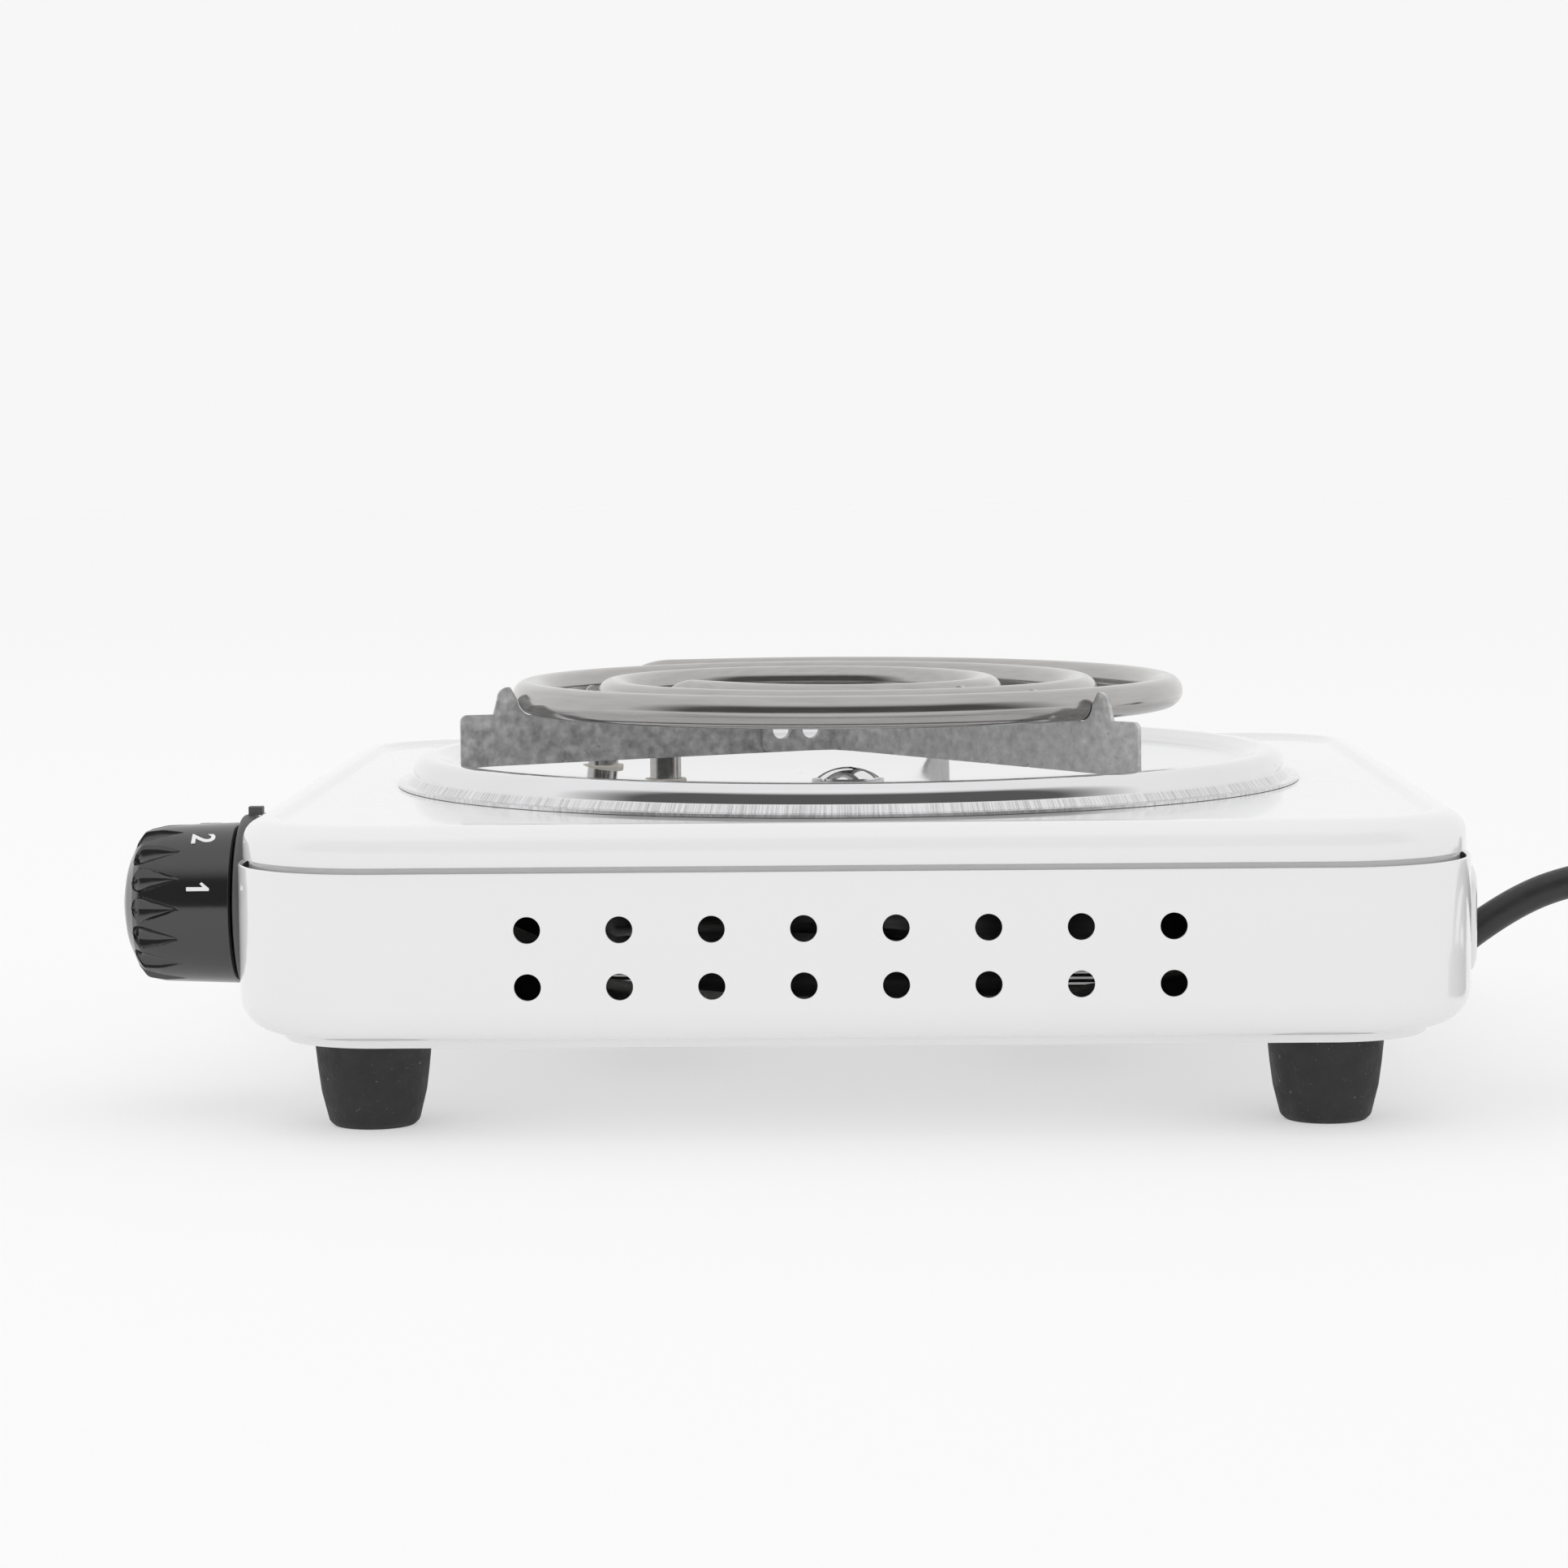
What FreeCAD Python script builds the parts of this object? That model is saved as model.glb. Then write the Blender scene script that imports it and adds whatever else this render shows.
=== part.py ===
import FreeCAD, Part
import math
import os

# Single-coil electric hot plate, millimetres, +Z up, the knob facing -Y.
# Origin: middle of the footprint, at the height of the feet's undersides.
# The mains lead and its plug are left out of that footprint.

V = FreeCAD.Vector

# ---- driving dimensions -------------------------------------------------------------------
case_half = 116.8            # half the side of the square case
case_corner = 27.6           # plan radius of the case's corners
sheet = 0.9                  # enamelled steel sheet
foot_height = 16.9           # underside of the case above the table
case_bottom = 18.6           # outer strip of the case's floor, above the sunk middle
case_top = 50.4              # top edge of the case's wall
case_bottom_round = 7.0
floor_step = 8.4             # from the case's side to the pressed-down middle of its floor
cover_half = 115.9           # half the side of the cover, a little inside the case
seam_gap = 0.8               # shadow line between case and cover
lip_depth = 3.5              # the cover's lip reaches this far down inside the case
cover_top = 59.0             # top of the raised bead round the cover
panel_drop = 0.9             # the panel lies this far under the bead
cover_round = 4.5            # outer edge rounding of the cover
bead_inset = 6.0             # from the cover's side to the inner foot of the bead
pan_back = -1.4              # the coil and pan sit this far from the case's middle, towards the knob
pan_radius = 94.0            # flange of the drip pan
opening_radius = 89.0        # hole in the cover, under the pan's flange
tube = 6.5                   # diameter of the heating tube
coil_height = 76.3           # height of the tube's axis
turns = (66.75, 49.1, 29.2)  # radii of the turns on the side away from the crossover
tail_radius = 75.4           # last stretch of the outer turn, outside the others
arm_reach = 82.0             # outer end of a support arm
arm_sheet = 1.0
arm_root_z = 64.1            # underside of an arm at the coil's middle
arm_peak = 78.8              # tips of the fingers between the turns
arm_hole_z = 68.6
arm_hole_radius = 1.95
arm_offset = -1.92           # an arm's blade passes this far beside the coil's middle
arm_angles = (46.0, -74.0, 166.0)
tab_holes = (5.0, 11.4)      # along the folded end of an arm
vent_pitch = 17.0
vent_radius = 2.5
vent_count = 8
vent_rows = (39.9, 29.3)
vent_shift = -0.5            # middle of a row of vents from the case's middle
slot_count = 7               # slots in each of the floor's two rows
slot_pitch = 9.0
slot_half = (1.75, 9.0)
slot_row = 42.0
knob_x = 66.0                # the dial's axis: distance from the case's middle
knob_z = 40.0
knob_radius = 15.7
bezel_radius = 17.2
bezel_depth = 2.6
knob_gap = 0.5
knob_reach = 25.6            # knob's front beyond the case's wall
grip_count = 16              # finger grooves round the knob
grip_first = 1.5             # degrees from +X to the first groove
shaft_radius = 3.0
pad_proud = 3.2              # raised pad round the cord's exit
pad_sunk = 0.8
pad_z = 36.0
pad_half = (15.0, 10.4)
pad_corner = 5.0
pad_round = 1.2
foot_place = 90.5            # feet and posts, from the case's middle
foot_shift = -1.1            # all four sit this far towards the knob
cord_x = 62.0
cord_size = 6.2              # diameter of the mains lead
exit_z = 31.0
exit_tilt = 38.0             # the lead leaves the wall this steeply upwards
bushing_neck = 4.75
lamp_x = 12.0
lamp_z = 38.0
screw_pitch = 13.0           # thermostat screws, either side of the dial's axis
clearance_hole = 1.7         # radius, for the small screws
earth_x = 68.0
earth_y = 80.0
leg_spots = ((3.0, -38.1), (-20.0, -52.6))   # where the coil's ends go down, from the pan's middle
leg_foot = 44.0
elbow_radius = 9.0
insulator_radius = 4.3
tail_end = 196.1                              # degrees round the outer turn where its end dives

# The lead's route where it lies free, in the row's frame: out of the bushing, over and down.
lead_route = [
    (62.0, 129.8, 30.25), (62.0, 139.2, 37.6), (62.2, 153.8, 42.9), (62.9, 170.6, 43.5),
    (63.8, 187.5, 38.0), (64.4, 202.3, 26.6), (63.8, 213.9, 15.7), (62.6, 228.6, 9.9)]
coil_middle = (24.3, 234.1)                   # middle of the stored coil
coil_rings = (31.5, 38.1)                     # radii of its inner and outer turns
coil_layers = (3.2, 9.6)                      # heights of its two layers
# From the stored coil to the plug.
tail_route = [
    (24.3, 272.2, 3.2), (11.3, 272.3, 3.9), (-0.8, 272.1, 8.6), (-11.9, 272.0, 15.3),
    (-24.3, 272.1, 19.4), (-37.3, 272.1, 19.4)]
plug_y = 272.1
plug_z = 19.4
plug_x = -28.0                                # tip of the plug's strain relief
plug_length = 51.0
plug_radius = 18.6
pin_spacing = 19.0
pin_radius = 2.4
pin_neck = 2.1                                # radius of the pin's moulded-in root
clip_y = 16.4                                 # earth clips, either side of the plug's axis

case_y = (knob_reach - pad_proud) / 2    # case's middle in the row's frame
front = -case_half
panel_top = cover_top - panel_drop
floor_top = foot_height + sheet


# ---- helpers ------------------------------------------------------------------------------
def outline_edges(start, steps, make):
    """Edges through points; a step is a point, or a middle point and an end point of an arc."""
    edges = []
    here = start
    for step in steps:
        if isinstance(step[0], tuple):
            edges.append(Part.Arc(make(here), make(step[0]), make(step[1])).toShape())
            here = step[1]
        else:
            edges.append(Part.LineSegment(make(here), make(step)).toShape())
            here = step
    if make(here).distanceToPoint(make(start)) > 1e-6:
        edges.append(Part.LineSegment(make(here), make(start)).toShape())
    return edges


def turned(start, steps, x=0.0, y=0.0, z=0.0):
    """Solid of revolution about a vertical axis, from a radius and height outline."""
    face = Part.Face(Part.Wire(outline_edges(start, steps, lambda p: V(p[0], 0, p[1]))))
    solid = face.revolve(V(0, 0, 0), V(0, 0, 1), 360)
    solid.translate(V(x, y, z))
    return solid


def turned_y(start, steps, x, z):
    """Solid of revolution about an axis along Y; the outline is radius and place along Y."""
    face = Part.Face(Part.Wire(outline_edges(start, steps, lambda p: V(p[0], p[1], 0))))
    solid = face.revolve(V(0, 0, 0), V(0, 1, 0), 360)
    solid.translate(V(x, 0, z))
    return solid


def upright(radius, x, y, z0, z1):
    return Part.makeCylinder(radius, z1 - z0, V(x, y, z0), V(0, 0, 1))


def along_y(radius, x, z, y0, y1):
    return Part.makeCylinder(radius, y1 - y0, V(x, y0, z), V(0, 1, 0))


def along_x(radius, x0, x1, y, z):
    return Part.makeCylinder(radius, x1 - x0, V(x0, y, z), V(1, 0, 0))


def block(x0, x1, y0, y1, z0, z1):
    return Part.makeBox(x1 - x0, y1 - y0, z1 - z0, V(x0, y0, z0))


def rounded_face(half_x, half_y, radius, z, x=0.0, y=0.0):
    """Horizontal rectangle with round corners."""
    k = radius * (1 - math.sqrt(0.5))
    steps = []
    for sx, sy in ((1, 1), (-1, 1), (-1, -1), (1, -1)):
        ends = [(sx * half_x, sy * (half_y - radius)), (sx * (half_x - radius), sy * half_y)]
        if sx * sy < 0:
            ends.reverse()
        middle = (sx * (half_x - k), sy * (half_y - k))
        steps.append(ends[0])
        steps.append((middle, ends[1]))
    return Part.Face(Part.Wire(outline_edges(steps[-1][1], steps, lambda p: V(x + p[0], y + p[1], z))))


def slab(half_x, half_y, radius, z0, z1, x=0.0, y=0.0):
    return rounded_face(half_x, half_y, radius, z0, x, y).extrude(V(0, 0, z1 - z0))


def edges_at(shape, z, tolerance=1e-4):
    """Edges that lie wholly in the level plane at height z."""
    picked = []
    for edge in shape.Edges:
        box = edge.BoundBox
        if abs(box.ZMin - z) < tolerance and abs(box.ZMax - z) < tolerance:
            picked.append(edge)
    return picked


def rounded_slab(half, radius, z0, z1, fillet, at):
    """Square slab with round corners whose edges at one height are rounded too."""
    body = slab(half, half, radius, z0, z1)
    return body.makeFillet(fillet, edges_at(body, at))


def route_edges(points, radius=None):
    """Straight runs joined by tangent arcs, each as large as its two runs allow."""
    spots = [V(*p) for p in points]
    edges = []
    last = spots[0]
    for i in range(1, len(spots) - 1):
        before = spots[i - 1] - spots[i]
        after = spots[i + 1] - spots[i]
        turn = math.pi - before.getAngle(after)
        shorter = min(before.Length, after.Length)
        bend = radius if radius else 0.45 * shorter / math.tan(turn / 2)
        reach = bend * math.tan(turn / 2)
        before.normalize()
        after.normalize()
        enter = spots[i] + before * reach
        leave = spots[i] + after * reach
        inward = before + after
        inward.normalize()
        middle = spots[i] + inward * (bend / math.cos(turn / 2) - bend)
        edges.append(Part.LineSegment(last, enter).toShape())
        edges.append(Part.Arc(enter, middle, leave).toShape())
        last = leave
    edges.append(Part.LineSegment(last, spots[-1]).toShape())
    return edges


def swept(edges, radius):
    """Round rod along a chain of edges."""
    first = edges[0]
    start = first.valueAt(first.FirstParameter)
    ahead = first.tangentAt(first.FirstParameter)
    ring = Part.Wire([Part.makeCircle(radius, start, ahead)])
    return Part.Wire(edges).makePipeShell([ring], True, False)


def polar(radius, degrees, x=0.0, y=0.0):
    a = math.radians(degrees)
    return (x + radius * math.cos(a), y + radius * math.sin(a))


def save(name, *solids, shift=case_y):
    """Write one node; identical pieces share a file as separate solids."""
    moved = []
    for solid in solids:
        piece = solid.copy()
        piece.translate(V(0, shift, 0))
        moved.append(piece)
    shape = moved[0] if len(moved) == 1 else Part.makeCompound(moved)
    shape.exportStep("parts/" + name + ".step")
    state = "ok" if shape.isValid() and shape.Volume > 0 else "BAD"
    print(name, state, len(shape.Solids), "solids", round(shape.Volume, 1), "mm3")


def each_corner():
    for sx in (-1, 1):
        for sy in (-1, 1):
            yield ("front" if sy < 0 else "rear") + ("_left" if sx < 0 else "_right"), sx, sy


# ---- case and cover -----------------------------------------------------------------------
def shell_form(inset):
    """Outer or inner form of the case: a rounded tub with a middle that is pressed down."""
    low = case_bottom + inset
    tub = rounded_slab(case_half - inset, case_corner - inset, low, case_top + 5 * inset,
                       case_bottom_round - inset, low)
    half = case_half - floor_step - inset
    step = slab(half, half, case_corner - floor_step - inset, foot_height + inset, low + 2)
    return tub.fuse(step)


def make_lower_case():
    shell = shell_form(0.0).cut(shell_form(sheet))
    thick = pad_proud + pad_sunk
    pad = slab(*pad_half, pad_corner, 0, thick)
    pad = pad.makeFillet(pad_round, edges_at(pad, thick))
    pad.rotate(V(0, 0, 0), V(1, 0, 0), -90)
    pad.translate(V(cord_x, case_half - pad_sunk, pad_z))
    shell = shell.fuse(pad)
    for side in (-1, 1):
        for row in vent_rows:
            for k in range(vent_count):
                y = (k - (vent_count - 1) / 2) * vent_pitch + vent_shift
                x0 = min(side * (case_half - 3), side * (case_half + 2))
                shell = shell.cut(along_x(vent_radius, x0, x0 + 5, y, row))
    shell = shell.cut(along_y(5.0, knob_x, knob_z, front - 2, front + 4))
    shell = shell.cut(along_y(4.1, lamp_x, lamp_z, front - 2, front + 4))
    shell = shell.cut(along_y(clearance_hole, knob_x - screw_pitch, knob_z, front - 2, front + 4))
    shell = shell.cut(along_y(clearance_hole, knob_x + screw_pitch, knob_z, front - 2, front + 4))
    shell = shell.cut(along_y(bushing_neck + 0.02, cord_x, exit_z, case_half - 6, case_half + 6))
    for _, sx, sy in each_corner():
        shell = shell.cut(upright(2.2, sx * foot_place, sy * foot_place + foot_shift, 10, 24))
    shell = shell.cut(upright(clearance_hole, earth_x, earth_y, 10, 24))
    for row in (-1, 1):
        for k in range(slot_count):
            x = (k - (slot_count - 1) / 2) * slot_pitch
            slot = slab(*slot_half, 1.7, 10, 24, x, row * slot_row)
            shell = shell.cut(slot)
    save("lower_case", shell.removeSplitter())


def make_top_cover():
    low = case_top + seam_gap
    outer = rounded_slab(cover_half, case_corner - 0.7, low, cover_top, cover_round, cover_top)
    hollow = rounded_slab(cover_half - sheet, case_corner - 0.7 - sheet, low - 1, cover_top - sheet,
                          cover_round - sheet, cover_top - sheet)
    inset = cover_half - bead_inset
    sunk = Part.makeLoft([rounded_face(inset - 1.2, inset - 1.2, 19.0, panel_top).OuterWire,
                          rounded_face(inset + 1.3, inset + 1.3, 21.5, cover_top + 0.3).OuterWire], True)
    under = slab(inset + 0.4, inset + 0.4, 20.4, panel_top - sheet, cover_top + 1)
    cover = outer.cut(hollow.cut(under)).cut(sunk)
    rim = cover_half - 1.1
    lip = slab(rim, rim, case_corner - 1.8, case_top - lip_depth, low + 2)
    lip = lip.cut(slab(rim - sheet, rim - sheet, case_corner - 1.8 - sheet, case_top - 8, low + 4))
    shelf = slab(cover_half - 0.2, cover_half - 0.2, case_corner - 0.9, low, low + sheet)
    shelf = shelf.cut(slab(rim - 0.3, rim - 0.3, case_corner - 2.1, low - 1, low + 4))
    cover = cover.fuse(lip).fuse(shelf)
    cover = cover.cut(upright(opening_radius, 0, pan_back, case_top - 10, cover_top + 5))
    save("top_cover", cover.removeSplitter())


def make_posts_and_feet():
    """Four posts hang from the cover; a screw through each foot draws case and cover together."""
    screws = []
    washers = []
    for name, sx, sy in each_corner():
        x = sx * foot_place
        y = sy * foot_place + foot_shift
        post = upright(4.0, x, y, floor_top, panel_top - sheet)
        post = post.fuse(upright(8.0, x, y, panel_top - sheet - 1.2, panel_top - sheet))
        post = post.cut(upright(2.02, x, y, floor_top - 1, floor_top + 16))
        save("cover_post_" + name, post)
        foot = turned((2.3, 0), [(7.4, 0), ((8.3, 0.5), (8.8, 1.7)), ((9.9, 6.0), (10.5, 10.5)),
                                 (11.1, foot_height - 0.7), (12.5, foot_height - 0.5),
                                 (12.6, foot_height), (2.3, foot_height)], x, y)
        foot = foot.cut(upright(5.2, x, y, -1, 9.0))
        save("foot_" + name, foot)
        screw = turned((0, 4.9), [(1.6, 4.9), ((3.4, 5.2), (4.0, 6.4)), (4.0, 7.9), (2.0, 7.9),
                                  (2.0, floor_top + 12), (0, floor_top + 12)], x, y)
        for turn in (0, 90):
            slot = block(-2.2, 2.2, -0.4, 0.4, 4, 6.4)
            slot.rotate(V(0, 0, 0), V(0, 0, 1), turn)
            slot.translate(V(x, y, 0))
            screw = screw.cut(slot)
        screws.append(screw)
        washers.append(upright(4.9, x, y, 7.9, 9.0).cut(upright(2.1, x, y, 7, 10)))
    save("foot_screws", *screws)
    save("foot_washers", *washers)


# ---- drip pan and what clamps it ----------------------------------------------------------
def bowl_z(radius):
    """Upper surface of the pan's shallow bowl."""
    return 57.3 + 4.7 * (radius / 82.4) ** 2


def pan_outline(drop, spread):
    """Upper or lower surface of the pan from the bowl's middle to the flange."""
    return [((45, bowl_z(45) - drop), (82.4, bowl_z(82.4) - drop)),
            (83.3 + 0.3 * spread, 62.9 - drop),
            ((86.9, 64.3 - drop), (90.7 - spread, 62.0 - 0.3 * drop)),
            (92.0 - spread, 58.8 - drop),
            (pan_radius, 58.8 - drop)]


def make_drip_pan():
    thick = 0.6
    steps = pan_outline(0.0, 0.0)
    lower = pan_outline(thick, thick)
    steps.append(lower[4])
    steps.append(lower[3])
    steps.append((90.7 - thick, 62.0 - 0.3 * thick))
    steps.append(((86.9, 64.3 - thick), (83.3 + 0.3 * thick, 62.9 - thick)))
    steps.append((82.4, bowl_z(82.4) - thick))
    steps.append(((45, bowl_z(45) - thick), (0, bowl_z(0) - thick)))
    pan = turned((0, bowl_z(0)), steps, 0, pan_back)
    pan = pan.cut(upright(2.3, 0, pan_back, 50, 65))
    for x, y in leg_spots:
        pan = pan.cut(upright(insulator_radius + 0.05, x, y + pan_back, 50, 70))
    save("drip_pan", pan)


def make_pan_clamp():
    """Shield, strap, spacer, screw and nut that hold the pan down on the cover."""
    shield = turned((0, 50.0), [(84.0, 50.0), (86.0, 54.2), (86.9, 54.2), (84.7, 49.4), (0, 49.4)],
                    0, pan_back)
    shield = shield.cut(upright(2.3, 0, pan_back, 45, 60))
    for x, y in leg_spots:
        shield = shield.cut(upright(insulator_radius + 0.05, x, y + pan_back, 45, 60))
    save("heat_shield", shield)
    w = 8.0
    side_view = [(-90, 57.2), (-89, 49.4), (89, 49.4), (90, 57.2), (98, 57.2), (98, 55.9),
                 (91.4, 55.9), (90.4, 48.0), (-90.4, 48.0), (-91.4, 55.9), (-98, 55.9)]
    ring = outline_edges((-98, 57.2), side_view, lambda p: V(p[0], pan_back - w, p[1]))
    strap = Part.Face(Part.Wire(ring)).extrude(V(0, 2 * w, 0))
    strap = strap.cut(upright(2.2, 0, pan_back, 40, 60))
    save("pan_bridge", strap)
    spacer = upright(4.5, 0, pan_back, 50.0, 56.7).cut(upright(2.3, 0, pan_back, 49, 58))
    save("center_spacer", spacer)
    washer_top = 57.9
    washer = upright(7.6, 0, pan_back, 57.45, washer_top).cut(upright(2.1, 0, pan_back, 50, 60))
    save("center_washer", washer)
    screw = turned((0, 60.4), [((3.9, 59.8), (6.6, 58.3)), (6.6, washer_top), (2.0, washer_top),
                               (2.0, 42.5), (0, 42.5)], 0, pan_back)
    for turn in (35, 125):
        slot = block(-2.9, 2.9, -0.55, 0.55, 59.0, 62)
        slot.rotate(V(0, 0, 0), V(0, 0, 1), turn)
        slot.translate(V(0, pan_back, 0))
        screw = screw.cut(slot)
    save("center_screw", screw)
    hexagon = [V(*polar(4.04, 60 * k, 0, pan_back), 44.8) for k in range(7)]
    nut = Part.Face(Part.makePolygon(hexagon)).extrude(V(0, 0, 3.2))
    save("center_nut", nut.cut(upright(2.02, 0, pan_back, 40, 50)))


# ---- heating coil and its supports --------------------------------------------------------
def half_turn(radius, middle_y, first, last):
    """Arc of the coil in the level plane; angles run from +X towards +Y."""
    y0 = pan_back + middle_y
    spots = [V(*polar(radius, a, 0, y0), coil_height) for a in (first, (first + last) / 2, last)]
    return Part.Arc(*spots).toShape()


def inner_leave_angle():
    """Where the straight end leaves the innermost turn so that it reaches the first leg."""
    x, y = leg_spots[0]
    reach = math.sqrt(x * x + y * y - turns[2] ** 2)
    return -abs(math.degrees(math.atan2(-reach, turns[2]) - math.atan2(y, x)))


def make_heating_coil():
    leave = inner_leave_angle()
    r1, r2, r3 = turns
    joint = V(*polar(r3, leave, 0, pan_back), coil_height)
    x1, y1 = leg_spots[0]
    first_end = route_edges([(x1, y1 + pan_back, leg_foot), (x1, y1 + pan_back, coil_height), tuple(joint)],
                            elbow_radius)
    inner_turn = [half_turn(r3, 0, leave, 90), half_turn((r3 + r2) / 2, (r3 - r2) / 2, 90, 270)]
    middle_turn = [half_turn(r2, 0, -90, 90), half_turn((r2 + r1) / 2, (r2 - r1) / 2, 90, 270)]
    outer_turn = [half_turn(r1, 0, -90, 90), half_turn(tail_radius, r1 - tail_radius, 90, tail_end)]
    ex, ey = polar(tail_radius, tail_end, 0, pan_back + r1 - tail_radius)
    ax, ay = polar(15.0, tail_end + 90)
    x2, y2 = leg_spots[1]
    last_end = route_edges([(ex, ey, coil_height), (ex + ax, ey + ay, coil_height),
                            (-50.0, -57.0, 69.3), (x2, y2 + pan_back, 66.8),
                            (x2, y2 + pan_back, leg_foot)], elbow_radius)
    save("heating_coil_inner", swept(first_end + inner_turn, tube / 2))
    save("heating_coil_middle", swept(middle_turn, tube / 2))
    save("heating_coil_outer", swept(outer_turn + last_end, tube / 2))
    for k, (x, y) in enumerate(leg_spots):
        y = y + pan_back
        top = bowl_z(math.hypot(x, y - pan_back)) + 0.3
        sleeve = upright(insulator_radius, x, y, 46.0, top).fuse(upright(6.4, x, y, 46.0, 49.3))
        sleeve = sleeve.cut(upright(tube / 2 + 0.05, x, y, 40, 70))
        save("coil_insulator_" + str(k + 1), sleeve)
        pin = upright(1.4, x, y, 33.0, leg_foot).fuse(block(x - 3.2, x + 3.2, y - 0.4, y + 0.4, 31.0, 37.0))
        save("coil_terminal_" + str(k + 1), pin)


def crossing(radius, middle_y, degrees):
    """Distance along an arm's blade to a coil arc."""
    across, along = polar(middle_y, degrees)
    return along + math.sqrt(radius ** 2 - (arm_offset - across) ** 2)


def seat_places(angle):
    """Distances at which an arm crosses the turns; the arm under the inner end has two seats."""
    r1, r2, r3 = turns
    if math.cos(math.radians(angle)) > 0:
        seats = turns if angle > 0 else turns[:2]
        return tuple(crossing(radius, 0, angle) for radius in seats)
    return (crossing(tail_radius, r1 - tail_radius, angle),
            crossing((r1 + r2) / 2, (r2 - r1) / 2, angle),
            crossing((r2 + r3) / 2, (r3 - r2) / 2, angle))


def arm_outline(seats):
    """Side view of an arm: seats for the turns, a finger outside each, a shallow foot."""
    top = coil_height - tube / 2 + 0.25
    peak = arm_peak
    grip = tube / 2 + 0.14
    low = coil_height - grip
    steps = [(4.0, arm_root_z), (63.0, 62.9), (arm_reach - 6.0, 62.6), (arm_reach - 1.2, 62.3),
             ((arm_reach - 0.3, 62.7), (arm_reach, 63.6)), (arm_reach, top - 1.4),
             ((arm_reach - 0.45, top - 0.4), (arm_reach - 1.5, top))]
    for k, seat in enumerate(seats):
        if k == 0:
            root = min(seat + 8.4, arm_reach - 2.2)
            steps += [(root, top), (root - 0.9, peak - 2.2)]
            steps.append(((root - 1.7, peak - 0.5), (seat + 4.8, peak)))
        else:
            steps += [(seat + 6.6, top), (seat + 6.5, peak - 1.6)]
            steps.append(((seat + 5.1, peak), (seat + 3.7, peak - 1.6)))
        steps.append((seat + grip, coil_height))
        steps.append(((seat, low), (seat - math.sqrt(grip ** 2 - (coil_height - top) ** 2), top)))
    if len(seats) == 2:
        steps += [(42.5, top), (41.0, 70.4), (28.5, 70.4), (27.0, top)]
    return steps, top


def make_support_arm(index):
    angle = arm_angles[index]
    offset = arm_offset
    bend_x = (1.5 * offset + arm_sheet + 0.04) / math.sin(math.radians(60))
    steps, top = arm_outline(seat_places(angle))
    steps.append((bend_x + 0.3, top))
    blade = Part.Face(Part.Wire(outline_edges((bend_x + 0.3, arm_root_z), steps,
                                              lambda p: V(p[0], offset - arm_sheet / 2, p[1]))))
    blade = blade.extrude(V(0, arm_sheet, 0))
    for notch in (42.0, 52.9):
        if index == 0:
            z = arm_root_z - (notch - 4) * 1.2 / 59
            wedge = Part.Face(Part.makePolygon([V(notch - 0.9, -9, z - 1), V(notch + 0.9, -9, z - 1),
                                                V(notch, -9, z + 0.9), V(notch - 0.9, -9, z - 1)]))
            blade = blade.cut(wedge.extrude(V(0, 18, 0)))
    tab = block(0, 15.6, -arm_sheet / 2, arm_sheet / 2, arm_root_z, top)
    for x in tab_holes if index < 2 else ():
        tab = tab.cut(Part.makeCylinder(arm_hole_radius, 6, V(x, -3, arm_hole_z), V(0, 1, 0)))
    corner = [e for e in tab.Edges if e.BoundBox.XMin > 15.5 and e.BoundBox.ZLength < 1e-3]
    tab = tab.makeFillet(1.6, corner)
    tab.rotate(V(0, 0, 0), V(0, 0, 1), -120)
    tab.translate(V(bend_x, offset, 0))
    arm = blade.fuse(tab)
    knee = Part.makeCylinder(arm_sheet / 2, top - arm_root_z, V(bend_x, offset, arm_root_z), V(0, 0, 1))
    arm = arm.fuse(knee)
    for s in tab_holes if index > 0 else ():
        x = covered_hole(s, offset, bend_x)
        arm = arm.cut(Part.makeCylinder(arm_hole_radius, 6, V(x, -5, arm_hole_z), V(0, 1, 0)))
    arm.rotate(V(0, 0, 0), V(0, 0, 1), angle)
    arm.translate(V(0, pan_back, 0))
    save("support_arm_" + str(index + 1), arm.removeSplitter())


def covered_hole(s, offset, bend_x):
    """Distance along an arm of a hole that lines up with one in its neighbour's tab."""
    tab_x, tab_y = polar(s, -120, bend_x, offset)
    return tab_x * math.cos(math.radians(120)) - tab_y * math.sin(math.radians(120))


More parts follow.
